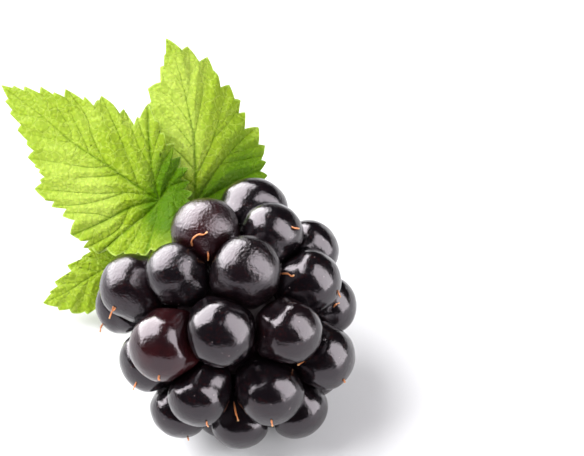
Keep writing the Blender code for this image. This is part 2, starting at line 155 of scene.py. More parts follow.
# The leaves stand in a fan that leans back. Places in it are across, up the slope and out of
# it, in millimetres from the middle of the berry. Each blade falls away from its base toward
# the tip (slope), toward every side (bend) and on each side of its midrib (folds). The midrib's
# angle is given at the base, with its turn for each millimetre. A blade may also droop on one
# side of an angle and rise round another. Veins are routes from the leaf's base, and the edge
# goes round as degrees and distance from the base, with a row for each tooth and each notch.
# Paler (above 0) and deeper (below 0) parts are given as place, radius and amount. They are partly
# the leaf's own colour and partly painted light and painted shade, where a blade faces toward or
# away from the light.
FAN_LEAN = math.radians(40)
LEAVES = {
    "leaf_left": {
        "base": (-6.7, 11.2, -5.0),
        "petiole_end": (-6.3, 10.8, -7.3),
        "midrib": (145, 0.0),
        "slope": 0.0,
        "bend": 0.010,
        "folds": (0.12, 0.20),
        "droop": (93, 0.22),
        "rise": (300, 1.0),
        "mains": (
            ((0, 0), (-2.5, 1.6), (-5.1, 3.4), (-8.8, 5.8), (-11.7, 8.3), (-16.0, 11.5)),
            ((0, 0), (-0.3, 1.1), (-0.8, 3.3), (-1.1, 6.1), (-1.3, 9.6)),
            ((0, 0), (-1.2, -0.2), (-3.0, -0.7), (-4.9, -1.7), (-6.6, -2.5), (-9.0, -3.5)),
            ((0, 0), (-0.8, -1.0), (-2.6, -2.4), (-4.3, -3.8), (-6.3, -5.4)),
            ((0, 0), (-0.2, -1.8), (-0.7, -3.6), (-1.3, -5.4)),
            ((0, 0), (0.8, 1.7), (1.6, 3.2), (2.0, 4.3)),
        ),
        "sides": (
            ((-0.8, 0.5), (-3.5, 0.8), (-6.1, 0.7), (-9.2, 0.9), (-12.6, 1.2)),
            ((-2.0, 1.3), (-3.0, 3.8), (-4.0, 6.3), (-4.8, 8.1), (-5.9, 10.4)),
            ((-5.1, 3.4), (-6.2, 5.1), (-6.9, 6.8), (-7.5, 8.6), (-9.4, 11.1)),
            ((-8.8, 5.8), (-9.0, 7.1), (-10.1, 8.9), (-12.0, 11.3)),
            ((-11.7, 8.3), (-12.6, 9.7), (-13.7, 11.4)),
            ((-13.6, 9.8), (-14.4, 10.8), (-14.8, 11.5)),
            ((-5.1, 3.4), (-7.1, 3.3), (-10.2, 3.8), (-13.2, 4.3)),
            ((-8.8, 5.8), (-10.4, 6.0), (-12.2, 6.5), (-14.2, 7.0)),
            ((-11.7, 8.3), (-13.3, 8.5), (-15.2, 8.9)),
            ((-13.6, 9.8), (-14.6, 10.0), (-15.7, 10.1)),
            ((-0.6, 2.6), (-1.4, 4.1), (-2.2, 5.6), (-3.6, 9.1)),
            ((-0.8, 5.1), (-1.6, 6.3), (-2.3, 8.1)),
            ((-0.4, 1.6), (0.2, 3.6), (1.4, 5.6)),
            ((-0.8, 4.1), (-0.3, 6.1), (0.2, 7.6)),
            ((0.4, 0.9), (1.4, 1.6), (2.9, 2.0)),
            ((-4.9, -1.7), (-6.6, -1.3), (-9.8, -1.2)),
            ((-3.5, 0.8), (-5.6, 0.1), (-8.1, -0.4), (-11.0, -0.5)),
            ((-3.0, -0.7), (-4.3, -3.0), (-7.6, -4.8)),
            ((-4.0, 2.6), (-5.6, 2.4), (-8.0, 2.3)),
            ((-7.0, 4.7), (-7.9, 6.6), (-8.9, 8.6)),
            ((-1.4, -1.4), (-2.2, -3.4), (-3.4, -5.2)),
        ),
        "tones_and_painted_light": (
            (0.3, -1.0, 3.2, -1.0), (2.2, -0.5, 2.2, -0.8), (1.6, 3.4, 2.2, -0.9),
            (-9.0, 2.5, 4.0, 0.8), (-6.0, -0.5, 3.0, 0.9), (-13.0, 9.0, 4.0, 0.3),
            (-4.5, 4.0, 3.4, -0.35), (-6.5, 8.5, 2.5, 0.4), (-2.5, 8.0, 2.0, 0.5),
        ),
        "seed": 3,
        "edge": (
            (-14, 2.6), (-5, 3.3), (3, 2.7), (13, 3.4), (24, 2.6), (33, 3.5), (46, 2.9),
            (49, 4.3), (61, 3.7), (65, 4.8), (74, 4.3), (76, 5.9), (84, 5.6), (87, 6.8),
            (89.5, 6.7), (91, 7.9), (94, 8.1), (97.5, 9.8), (104, 8.5), (105.5, 8.7),
            (109, 8.0), (110.5, 8.9), (112, 9.9), (115, 9.6), (116, 10.7), (119.5, 12.1),
            (121.5, 11.8), (122.5, 11.9), (125, 11.6), (126, 12.9), (127.5, 12.7),
            (130.5, 14.8), (133, 14.2), (134.5, 15.3), (135.3, 15.2), (136.5, 16.7),
            (138.5, 16.3), (140, 18.0), (141.3, 17.8), (142, 18.9), (142.8, 18.9),
            (144.2, 20.0), (146.3, 18.6), (147.6, 18.7), (148.5, 17.6), (150.1, 17.6),
            (151.5, 16.0), (153.9, 16.1), (155.8, 14.7), (157.3, 14.6), (158.5, 13.7),
            (162, 14.1), (164, 13.1), (165, 13.1), (165.6, 12.5), (167, 12.5),
            (168.4, 11.9), (170.2, 12.3), (171.5, 12.1), (174.6, 12.8), (179, 11.7),
            (179.8, 11.6), (180.4, 10.7), (183.3, 11.0), (185, 9.5), (189, 10.0),
            (193, 8.8), (200, 9.7), (205, 9.1), (206.9, 9.0), (208.9, 8.2), (211, 9.1),
            (214.7, 8.4), (220.5, 8.2), (221.5, 7.2), (231.5, 7.1), (235, 6.3), (243, 6.5),
            (248, 5.6), (256, 5.7), (261, 4.9), (270, 5.0), (276, 4.7), (286, 4.7),
            (293, 4.2), (303, 3.7), (312, 2.9), (322, 2.9), (331, 2.5), (338, 2.1),
        ),
    },
    "leaf_upper": {
        "base": (-3.5, 10.7, -8.0),
        "petiole_end": (-5.0, 10.3, -9.5),
        "midrib": (85.5, 0.8),
        "slope": 0.08,
        "bend": 0.004,
        "folds": (0.45, 0.20),
        "droop": (0, 0.0),
        "rise": (0, 0.0),
        "mains": (
            ((0, 0), (0.2, 1.1), (0.2, 3.7), (0.1, 6.7), (-0.4, 9.3), (-1.0, 11.9),
             (-1.9, 15.0), (-2.8, 17.0)),
            ((0, 0), (2.7, 4.2), (4.7, 6.6), (6.4, 8.1)),
            ((0, 0), (3.0, 1.8), (5.6, 3.2), (7.6, 3.8)),
            ((0, 0), (2.6, -0.2), (5.0, -0.6), (6.6, -0.7)),
        ),
        "sides": (
            ((0.2, 2.8), (1.2, 4.9), (2.0, 6.8), (2.8, 9.9), (3.4, 12.4)),
            ((0.1, 6.7), (0.6, 9.8), (1.1, 12.4), (1.3, 15.2)),
            ((-0.7, 10.6), (-0.4, 12.9), (-0.6, 16.1)),
            ((2.3, 7.8), (3.5, 9.1), (5.0, 9.7)),
            ((2.0, 6.8), (3.7, 8.7), (4.8, 10.8)),
            ((3.5, 5.2), (5.5, 5.8), (7.1, 6.2)),
            ((2.7, 4.2), (4.6, 4.6), (7.2, 5.2)),
            ((-0.2, 8.0), (-1.4, 9.8), (-2.9, 11.3), (-4.7, 12.0)),
            ((-1.0, 11.9), (-2.0, 13.3), (-3.3, 14.2)),
            ((0.1, 5.7), (-1.4, 7.7), (-2.9, 9.3)),
            ((-1.3, 13.4), (-2.0, 14.3), (-2.9, 15.4)),
            ((0.2, 3.5), (-1.0, 4.9), (-2.4, 6.2)),
            ((0.2, 1.8), (-1.0, 2.9), (-2.4, 3.8)),
        ),
        "tones_and_painted_light": (
            (-1.2, 6.5, 3.4, 1.0), (-0.5, 3.5, 1.6, 0.7), (-2.5, 12.0, 3.0, 0.9),
            (0.0, 15.0, 2.5, 0.5), (5.2, 3.6, 3.8, -0.9), (3.4, 9.0, 2.6, -0.3),
            (1.2, 1.0, 2.6, -0.8),
        ),
        "seed": 8,
        "edge": (
            (-70, 1.4), (-55, 2.6), (-42, 3.4), (-36, 3.2), (-24, 4.8), (-18, 4.6),
            (-8, 6.2), (-2, 5.9), (6, 7.3), (12, 6.9), (17, 7.9), (20, 7.4), (22.5, 8.1),
            (28, 7.6), (31.5, 8.6), (34.5, 8.3), (40.5, 9.5), (44, 9.1), (51, 10.4),
            (57, 9.4), (61.5, 10.9), (64.5, 10.5), (66.5, 11.8), (69.5, 11.7),
            (74, 12.9), (77.5, 12.4), (79.5, 13.5), (82, 14.0), (85, 15.3), (88, 14.7),
            (92.5, 16.3), (94.5, 15.9), (97, 16.7), (99.5, 17.3), (100.3, 15.8),
            (101.3, 15.5), (101.9, 14.6), (103.7, 14.5), (105, 13.0), (111.5, 12.8),
            (112.2, 11.4), (114, 11.2), (114.6, 9.6), (119, 9.2), (120, 7.3), (126, 6.7),
            (129, 5.0), (139, 4.3), (148, 2.9), (160, 2.4), (175, 1.7), (195, 1.5),
            (215, 1.4), (240, 1.3), (262, 1.0),
        ),
    },
    "leaf_lower": {
        "base": (-7.9, 7.4, -9.5),
        "petiole_end": (-6.9, 8.9, -8.9),
        "midrib": (212, 0.0),
        "slope": 0.45,
        "bend": 0.0,
        "folds": (0.12, 0.14),
        "droop": (0, 0.0),
        "rise": (0, 0.0),
        "mains": (
            ((0, 0), (-1.6, -1.1), (-3.7, -2.5), (-6.4, -4.0), (-8.8, -5.5), (-11.3, -6.7)),
            ((0, 0), (-1.6, -0.4), (-3.4, -0.3), (-5.4, -0.3)),
            ((0, 0), (-0.8, -2.2), (-1.7, -4.2), (-2.6, -6.0)),
            ((0, 0), (-1.2, 0.8), (-2.6, 1.6)),
        ),
        "sides": (
            ((-3.7, -2.5), (-5.3, -2.1), (-7.0, -1.8)),
            ((-5.3, -3.4), (-7.0, -3.1), (-8.7, -2.8)),
            ((-7.1, -4.4), (-8.5, -4.6), (-10.1, -4.5)),
            ((-2.6, -1.8), (-4.0, -4.2), (-4.9, -6.7)),
            ((-4.2, -2.8), (-5.3, -4.6), (-6.0, -6.9)),
            ((-6.4, -4.0), (-7.0, -5.7), (-7.6, -7.7)),
            ((-8.2, -5.1), (-9.0, -6.2), (-9.7, -7.5)),
        ),
        "tones_and_painted_light": (
            (-2.5, -1.5, 3.5, -0.6), (-8.5, -4.5, 3.0, 0.3),
        ),
        "seed": 13,
        "edge": (
            (32, 0.9), (60, 1.8), (90, 2.2), (110, 2.0), (130, 2.6), (142, 2.5),
            (154, 3.3), (161, 3.2), (168, 4.4), (174, 4.3), (179, 5.5), (183.5, 5.4),
            (188, 6.6), (192, 6.4), (194.5, 7.4), (196.3, 7.6), (197.4, 9.2), (202, 9.0),
            (203.8, 11.1), (206.8, 11.0), (207.4, 12.1), (208.3, 12.0), (210.4, 13.3),
            (215.6, 12.2), (217.5, 12.3), (220.4, 11.3), (222.7, 11.4), (225.9, 10.8),
            (227.2, 10.3), (229.5, 10.3), (231.2, 9.3), (235.8, 8.9), (236.8, 7.9),
            (243, 7.2), (244.5, 5.9), (252, 5.2), (255, 3.8), (272, 3.0), (280, 1.9),
            (310, 1.7), (340, 1.4), (375, 1.3),
        ),
    },
}
VEIN_STEPS = 16
NET_STIR = 0.0012
EDGE_STEP = 0.13
EDGE_BULGE = 0.07
BLADE_RINGS = 118
BLADE_THICKNESS = 0.24
BLADE_EDGE = 0.09
CREASE = 0.15
MAIN_GROOVE = (0.2, 0.23)
SIDE_GROOVE = (0.11, 0.13)
QUILT_HEIGHT = 0.42
QUILT_WIDTH = 0.75
RIPPLE_HEIGHT = 0.30

# Underneath a blade, ribs stand out along the veins: height and width for the main ones, height
# for the side ones. At the edge the blade thins over a width, and a narrower rim is pale.
MAIN_RIB = (0.34, 0.22)
SIDE_RIB_HEIGHT = 0.12
THINNING_WIDTH = 0.8
RIM_WIDTH = 0.22

# A leaf's own stalk starts inside the blade, at distances from its base and depths below it.
PETIOLE_START = ((2.2, 0.5), (1.0, 0.62), (0.0, 0.75))
PETIOLE_SIDES = 24
PETIOLE_STEPS = 40
PETIOLE_RADIUS = 0.38
PETIOLE_OVERLAP = 0.3

# Colours that only one finish uses, and how high the bumps of each finish are, in metres.
FLECK_COLOR = (0.030, 0.006, 0.006, 1.0)
DUST_COLOR = (0.25, 0.20, 0.20, 1.0)
STYLE_TIP_COLOR = (0.72, 0.42, 0.2, 1.0)
# Juice colour on the core, which also paints shade in the gaps between the drupelets.
JUICE_AND_SHADE_COLOR = (0.016, 0.004, 0.008, 1.0)
SEPAL_COLOR = (0.22, 0.31, 0.10, 1.0)
SEPAL_PALE_COLOR = (0.46, 0.50, 0.30, 1.0)
DOWN_COLORS = ((0.62, 0.62, 0.48, 1.0), (0.40, 0.42, 0.26, 1.0), (0.8, 0.8, 0.7, 1.0))
STALK_RED_COLOR = (0.20, 0.07, 0.04, 1.0)
# The leaf's paler green, which also paints light where a blade faces the light.
LEAF_PALE_AND_LIT_COLOR = (0.39, 0.50, 0.070, 1.0)
# Painted shade that darkens a leaf between its small swellings.
LEAF_PAINTED_SHADE_COLOR = (0.045, 0.11, 0.001, 1.0)
LEAF_NET_COLOR = (0.52, 0.64, 0.13, 1.0)
SKIN_SHEEN_TINT = (1.0, 0.91, 0.985, 1.0)
SKIN_BUMP = 0.00008
STYLE_BUMP = 0.00001
CORE_BUMP = 0.0001
GREEN_BUMP = 0.00006
LEAF_BUMP = 0.00007

# The table's half width, and the backdrop: its colour and its strength for the camera, on matt
# things and in reflections.
TABLE_HALF = 3000
WORLD_COLOR = (1.0, 0.965, 1.0, 1.0)
WORLD_SEEN = 1.06
WORLD_ON_MATT = 0.33
WORLD_REFLECTED = 0.012

# The lights: the way to each from the berry, and their sizes and distances in metres. The key
# is a broad sun and the fill a soft box, and both light matt surfaces only. The two sheens are
# soft boxes of their own that show in reflections only.
LIGHT_DISTANCE = 0.42
SHEEN_DISTANCE = 0.13
KEY_WAY = (-0.60, -0.05, 0.79)
KEY_SHEEN_WAY = (-0.66, 0.47, 0.59)
FILL_WAY = (0.35, -0.80, 0.50)
FILL_SHEEN_WAY = (0.79, -0.25, 0.55)
KEY_ANGLE = math.radians(52)
KEY_SHEEN_SIZE = (0.21, 0.165)
KEY_SHEEN_ROLL = math.radians(16)
FILL_SIZE = (0.24, 0.30)
FILL_SHEEN_SIZE = (0.13, 0.22)

CAMERA_LENS = 150
CAMERA_DISTANCE = 237
CAMERA_TILT = math.radians(40)
CAMERA_AIM = (6.47, 8.46)


# ---------------------------------------------------------------------------- settings


class BerrySettings(bpy.types.PropertyGroup):
    """The look of the fruit."""

    skin_color: FloatVectorProperty(
        name="Skin",
        description="Colour of a ripe drupelet",
        subtype="COLOR",
        size=3,
        min=0.0,
        max=1.0,
        default=(0.0036, 0.0028, 0.0038),
    )
    red_color: FloatVectorProperty(
        name="Red",
        description="Colour where the skin is not quite ripe",
        subtype="COLOR",
        size=3,
        min=0.0,
        max=1.0,
        default=(0.026, 0.0042, 0.0052),
    )
    skin_roughness: FloatProperty(
        name="Skin roughness",
        description="How soft the highlights on the skin are",
        min=0.0,
        max=1.0,
        default=0.16,
    )
    style_color: FloatVectorProperty(
        name="Styles",
        description="Colour of the dried styles",
        subtype="COLOR",
        size=3,
        min=0.0,
        max=1.0,
        default=(0.62, 0.21, 0.065),
    )
    core_color: FloatVectorProperty(
        name="Core",
        description="Colour of the pale core where no juice has stained it",
        subtype="COLOR",
        size=3,
        min=0.0,
        max=1.0,
        default=(0.50, 0.52, 0.26),
    )
    fineness: IntProperty(
        name="Fineness",
        description="How finely each drupelet is meshed",
        min=3,
        max=6,
        default=SKIN_FINENESS,
    )


class LeafSettings(bpy.types.PropertyGroup):
    """The look of the green pieces."""

    blade_color: FloatVectorProperty(
        name="Blade",
        description="Colour of the upper side of a leaf",
        subtype="COLOR",
        size=3,
        min=0.0,
        max=1.0,
        default=(0.245, 0.35, 0.014),
    )
    # This deep green also paints shade along the leaf's vein grooves and in its shaded parts.
    deep_color: FloatVectorProperty(
        name="Deep green",
        description="Colour along the veins and near the leaf's base",
        subtype="COLOR",
        size=3,
        min=0.0,
        max=1.0,
        default=(0.072, 0.165, 0.0015),
    )
    pale_color: FloatVectorProperty(
        name="Pale green",
        description="Colour of the edge and the underside",
        subtype="COLOR",
        size=3,
        min=0.0,
        max=1.0,
        default=(0.52, 0.68, 0.16),
    )
    stalk_color: FloatVectorProperty(
        name="Stalk",
        description="Colour of the stalk and leaf stalks",
        subtype="COLOR",
        size=3,
        min=0.0,
        max=1.0,
        default=(0.16, 0.27, 0.045),
    )
    thickness: FloatProperty(
        name="Thickness",
        description="Thickness of a leaf",
        unit="LENGTH",
        min=0.0001,
        max=0.001,
        default=BLADE_THICKNESS * MM,
    )


class StageSettings(bpy.types.PropertyGroup):
    """The table and the light."""

    floor_color: FloatVectorProperty(
        name="Table",
        description="Colour of the table",
        subtype="COLOR",
        size=3,
        min=0.0,
        max=1.0,
        default=(0.86, 0.86, 0.88),
    )
    key_strength: FloatProperty(
        name="Key light",
        description="Strength of the broad soft light on the left",
        min=0.0,
        default=5.05,
    )
    key_sheen: FloatProperty(
        name="Key sheen",
        description="Strength of the left soft box that shows in reflections",
        unit="POWER",
        min=0.0,
        default=1.55,
    )
    fill_power: FloatProperty(
        name="Fill light",
        description="Strength of the soft box on the right",
        unit="POWER",
        min=0.0,
        default=1.3,
    )
    fill_sheen: FloatProperty(
        name="Fill sheen",
        description="Strength of the right soft box that shows in reflections",
        unit="POWER",
        min=0.0,
        default=0.80,
    )


# ---------------------------------------------------------------------------- shared tools


def read_points(node):
    """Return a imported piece's vertices in millimetres."""
    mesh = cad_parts[node].data
    points = np.empty(len(mesh.vertices) * 3)
    mesh.vertices.foreach_get("co", points)
    return points.reshape(-1, 3) / MM


def berry_axes():
    """Return the berry's directions: right, upper side and tip."""
    tip = np.array((
        math.sin(TIP_TURN) * math.cos(TIP_DIP),
        -math.cos(TIP_TURN) * math.cos(TIP_DIP),
        -math.sin(TIP_DIP),
    ))
    right = np.array((1.0, 0.0, 0.0)) - tip * tip[0]
    right /= np.linalg.norm(right)
    return right, np.cross(tip, right), tip


def berry_middle():
    """Return the middle of the berry in millimetres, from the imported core."""
    right, upper, tip = berry_axes()
    points = read_points("receptacle")
    across = (points @ right).min() + (points @ right).max()
    along = (points @ upper).min() + (points @ upper).max()
    return right * across / 2 + upper * along / 2 + tip * ((points @ tip).max() - CORE_TIP)


def ball_of(node, middle):
    """Return the middle and radius of the flattened ball that fits a packed drupelet's skin."""
    points = read_points(node)
    centre = (points.min(0) + points.max(0)) / 2
    stretch = SIDEWAYS_SHARE / OUTWARD_SHARE
    for _ in range(3):
        outward = (centre - middle) / np.linalg.norm(centre - middle)
        facing = (points - centre) @ outward / np.linalg.norm(points - centre, axis=1)
        skin = points[(facing > 0.5) & (points[:, 2] > 0.05)]
        high = (skin - middle) @ outward
        skin = skin + np.outer(high * (stretch - 1), outward)
        fit = np.linalg.lstsq(
            np.c_[2 * skin, np.ones(len(skin))], (skin**2).sum(1), rcond=None
        )[0]
        found = fit[:3]
        centre = found - outward * ((found - middle) @ outward) * (1 - 1 / stretch)
    return centre, math.sqrt(fit[3] + found @ found) / SIDEWAYS_SHARE


def fan_place(across, up, out):
    """Return where a place in the leaning fan is, from the middle of the berry."""
    sine, cosine = math.sin(FAN_LEAN), math.cos(FAN_LEAN)
    return np.stack(
        np.broadcast_arrays(across, up * sine - out * cosine, up * cosine + out * sine), -1
    )


def add_mesh(name, points, faces, marks=None):
    """Make a smooth mesh object from points in millimetres, with its named point values."""
    mesh = bpy.data.meshes.new(name)
    mesh.from_pydata((np.asarray(points) * MM).tolist(), [], [list(face) for face in faces])
    for label, values in (marks or {}).items():
        mesh.attributes.new(label, "FLOAT", "POINT").data.foreach_set(
            "value", np.asarray(values, np.float32)
        )
    mesh.shade_smooth()
    mesh.update()
    piece = bpy.data.objects.new(name, mesh)
    bpy.context.scene.collection.objects.link(piece)
    return piece


def finish_piece(piece, material, replaced=None):
    """Give a piece its material and its body, and hide what it stands for."""
    piece.data.materials.clear()
    piece.data.materials.append(material)
    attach(piece, BODY)
    if replaced:
        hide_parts(replaced)
    return piece


def smooth_route(points, steps):
    """Return evenly spaced places on a smooth curve through some points."""
    points = np.asarray(points, float)
    padded = np.vstack((2 * points[0] - points[1], points, 2 * points[-1] - points[-2]))
    places = []
    for share in np.linspace(0, len(points) - 1, steps):
        first = min(int(share), len(points) - 2)
        t = share - first
        a, b, c, d = padded[first:first + 4]
        places.append(
            0.5 * (2 * b + (c - a) * t + (2 * a - 5 * b + 4 * c - d) * t**2
                   + (3 * b - a - 3 * c + d) * t**3)
        )
    return np.array(places)


def closed_faces(rings, sides):
    """Return the faces of a closed shape: an end point, rings of points and an end point."""
    faces = []
    last = 1 + rings * sides
    top = last - sides
    for step in range(sides):
        after = (step + 1) % sides
        faces.append((0, 1 + after, 1 + step))
        for low in range(1, top, sides):
            high = low + sides
            faces.append((low + step, low + after, high + after, high + step))
        faces.append((top + step, top + after, last))
    return faces


def tube_shape(route, radii, sides, dome=0.6):
    """Return the points and faces of a round tube with domed ends along a route."""
    route = np.asarray(route, float)
    radii = np.asarray(radii, float)
    ahead = np.gradient(route, axis=0)
    ahead /= np.linalg.norm(ahead, axis=1)[:, None]
    side = np.cross(ahead[0], (0.3, 0.5, 0.8))
    rings = []
    for place, way, radius in zip(route, ahead, radii):
        side = side - way * (side @ way)
        side /= np.linalg.norm(side)
        other = np.cross(way, side)
        turn = np.linspace(0, 2 * math.pi, sides, endpoint=False)[:, None]
        rings.append(place + radius * (np.cos(turn) * side + np.sin(turn) * other))
    points = np.vstack(
        [route[:1] - ahead[:1] * radii[0] * dome]
        + rings
        + [route[-1:] + ahead[-1:] * radii[-1] * dome]
    )
    return points, closed_faces(len(rings), sides)


def join_shapes(shapes):
    """Put several shapes of points and faces together as one."""
    points, faces = [], []
    count = 0
    for some_points, some_faces in shapes:
        points.append(some_points)
        faces += [tuple(corner + count for corner in face) for face in some_faces]
        count += len(some_points)
    return np.vstack(points), faces


def wavy(points, size, seed):
    """Return smooth noise from -1 to 1 at each point, with waves of a size in millimetres."""
    shift = Vector((seed * 7.31, seed * 3.17, seed * 5.73))
    return np.array([noise.noise(Vector(point) / size + shift) for point in points])


# ---------------------------------------------------------------------------- shader tools


def new_tree(name):
    """Start a material and return it with its tree and its Principled shader."""
    material = bpy.data.materials.new(name)
    material.use_nodes = True
    tree = material.node_tree
    return material, tree, tree.nodes["Principled BSDF"]


def add_node(tree, kind, settings=None, **inputs):
    """Add a shader node; inputs, by name or as _0, _1 by place, are values or sockets."""
    node = tree.nodes.new(kind)
    for key, value in (settings or {}).items():
        setattr(node, key, value)
    for key, value in inputs.items():
        place = int(key[1:]) if key[1:].isdigit() else key
        feed(tree, node.inputs[place], value)
    return node


def feed(tree, socket, value):
    """Set a socket's value, or link it to another socket."""
    if isinstance(value, bpy.types.NodeSocket):
        tree.links.new(value, socket)
    else:
        socket.default_value = value


def math_node(tree, operation, first, second=0.0, third=0.0):
    """Add a Math node and return its value."""
    node = tree.nodes.new("ShaderNodeMath")
    node.operation = operation
    for socket, value in zip(node.inputs, (first, second, third)):
        feed(tree, socket, value)
    return node.outputs["Value"]


def mix_color(tree, amount, first, second):
    """Mix two colours by an amount and return the colour."""
    node = tree.nodes.new("ShaderNodeMix")
    node.data_type = "RGBA"
    feed(tree, node.inputs["Factor"], amount)
    feed(tree, node.inputs[6], first)
    feed(tree, node.inputs[7], second)
    return node.outputs[2]


def span(tree, value, low, high, to_low=0.0, to_high=1.0):
    """Map a value from one span to another, smoothly and clamped."""
    node = tree.nodes.new("ShaderNodeMapRange")
    node.interpolation_type = "SMOOTHSTEP"
    for socket, item in zip(node.inputs, (value, low, high, to_low, to_high)):
        feed(tree, socket, item)
    return node.outputs["Result"]


def place_of(tree):
    """Return the piece's own coordinates."""
    return tree.nodes.new("ShaderNodeTexCoord").outputs["Object"]


def mark_of(tree, label):
    """Return a point value that a mesh carries."""
    node = tree.nodes.new("ShaderNodeAttribute")
    node.attribute_name = label
    return node.outputs["Fac"]


def start_group(name, inputs, outputs):
    """Start a shader node group with named sockets; each input is a name and a default."""
    group = bpy.data.node_groups.new(name, "ShaderNodeTree")
    for label, default in inputs:
        kind = "NodeSocketVector" if default is None else "NodeSocketFloat"
        socket = group.interface.new_socket(label, in_out="INPUT", socket_type=kind)
        if default is not None:
            socket.default_value = default
    for label in outputs:
        group.interface.new_socket(label, in_out="OUTPUT", socket_type="NodeSocketFloat")
    given = group.nodes.new("NodeGroupInput").outputs
    return group, given, group.nodes.new("NodeGroupOutput").inputs


def grain_group():
    """Fine grain in two sizes: a height for bumps."""
    if "fine_grain" in bpy.data.node_groups:
        return bpy.data.node_groups["fine_grain"]
    group, given, out = start_group(
        "fine_grain", (("Place", None), ("Size", 0.0003), ("Roughness", 0.5)), ("Height",)
    )
    scale = math_node(group, "DIVIDE", 1.0, given["Size"])
    grain = add_node(
        group, "ShaderNodeTexNoise", Vector=given["Place"], Scale=scale, Detail=3.0,
        Roughness=given["Roughness"], Distortion=0.3,
    )
    group.links.new(grain.outputs["Fac"], out["Height"])
    return group


def mottle_group():
    """Soft patches: a mask from 0 to 1 that says how far a second colour shows."""
    if "mottle" in bpy.data.node_groups:
        return bpy.data.node_groups["mottle"]
    group, given, out = start_group(
        "mottle", (("Place", None), ("Size", 0.002), ("Cover", 0.5), ("Softness", 0.15)), ("Mask",)
    )
    scale = math_node(group, "DIVIDE", 1.0, given["Size"])
    patches = add_node(
        group, "ShaderNodeTexNoise", Vector=given["Place"], Scale=scale, Detail=4.0, Roughness=0.6
    ).outputs["Fac"]
    middle = math_node(group, "SUBTRACT", 0.78, math_node(group, "MULTIPLY", given["Cover"], 0.56))
    low = math_node(group, "SUBTRACT", middle, given["Softness"])
    high = math_node(group, "ADD", middle, given["Softness"])
    group.links.new(span(group, patches, low, high), out["Mask"])
    return group


def speck_group():
    """Scattered small specks: a mask that is 1 on a speck."""
    if "specks" in bpy.data.node_groups:
        return bpy.data.node_groups["specks"]
    group, given, out = start_group(
        "specks", (("Place", None), ("Spacing", 0.001), ("Size", 0.1), ("Share", 0.4)), ("Mask",)
    )
    scale = math_node(group, "DIVIDE", 1.0, given["Spacing"])
    cells = add_node(group, "ShaderNodeTexVoronoi", Vector=given["Place"], Scale=scale)
    near = math_node(group, "LESS_THAN", cells.outputs["Distance"], given["Size"])
    shade = add_node(group, "ShaderNodeSeparateColor", Color=cells.outputs["Color"])
    chosen = math_node(group, "LESS_THAN", shade.outputs["Red"], given["Share"])
    group.links.new(math_node(group, "MULTIPLY", near, chosen), out["Mask"])
    return group


def net_group():
    """A net of fine lines round small cells: a mask that is 1 on a line."""
    if "net" in bpy.data.node_groups:
        return bpy.data.node_groups["net"]
    group, given, out = start_group(
        "net", (("Place", None), ("Size", 0.001), ("Width", 0.15)), ("Mask",)
    )
    scale = math_node(group, "DIVIDE", 1.0, given["Size"])
    stir = add_node(group, "ShaderNodeTexNoise", Vector=given["Place"], Scale=scale, Detail=2.0)
    shift = add_node(
        group, "ShaderNodeVectorMath", {"operation": "MULTIPLY_ADD"}, _0=stir.outputs["Color"],
        _1=(NET_STIR, NET_STIR, NET_STIR), _2=given["Place"],
    )
    cells = add_node(
        group, "ShaderNodeTexVoronoi", {"feature": "DISTANCE_TO_EDGE"},
        Vector=shift.outputs["Vector"], Scale=scale,
    )
    line = span(group, cells.outputs["Distance"], 0.0, given["Width"], 1.0, 0.0)
    group.links.new(line, out["Mask"])
    return group


def pebble_group():
    """Small rounded swellings side by side: a height from 0 between them to 1 on their tops."""
    if "pebbles" in bpy.data.node_groups:
        return bpy.data.node_groups["pebbles"]
    group, given, out = start_group("pebbles", (("Place", None), ("Size", 0.0005)), ("Height",))
    scale = math_node(group, "DIVIDE", 1.0, given["Size"])
    cells = add_node(
        group, "ShaderNodeTexVoronoi", {"feature": "SMOOTH_F1"}, Vector=given["Place"],
        Scale=scale, Smoothness=0.4,
    )
    group.links.new(span(group, cells.outputs["Distance"], 0.15, 0.7, 1.0, 0.0), out["Height"])
    return group


def use_group(tree, group, **inputs):
    """Place a node group in a material with its own values."""
    node = tree.nodes.new("ShaderNodeGroup")
    node.node_tree = group
    for key, value in inputs.items():
        feed(tree, node.inputs[key], value)
    return node.outputs[0]


def add_bump(tree, shader, height, distance, strength=1.0):
    """Feed a height to the shader's Normal through a Bump node."""
    bump = add_node(tree, "ShaderNodeBump", Height=height, Distance=distance, Strength=strength)
    tree.links.new(bump.outputs["Normal"], shader.inputs["Normal"])


def rgba(color):
    """Return a colour with full alpha."""
    return (*color, 1.0)


# ---------------------------------------------------------------------------- materials


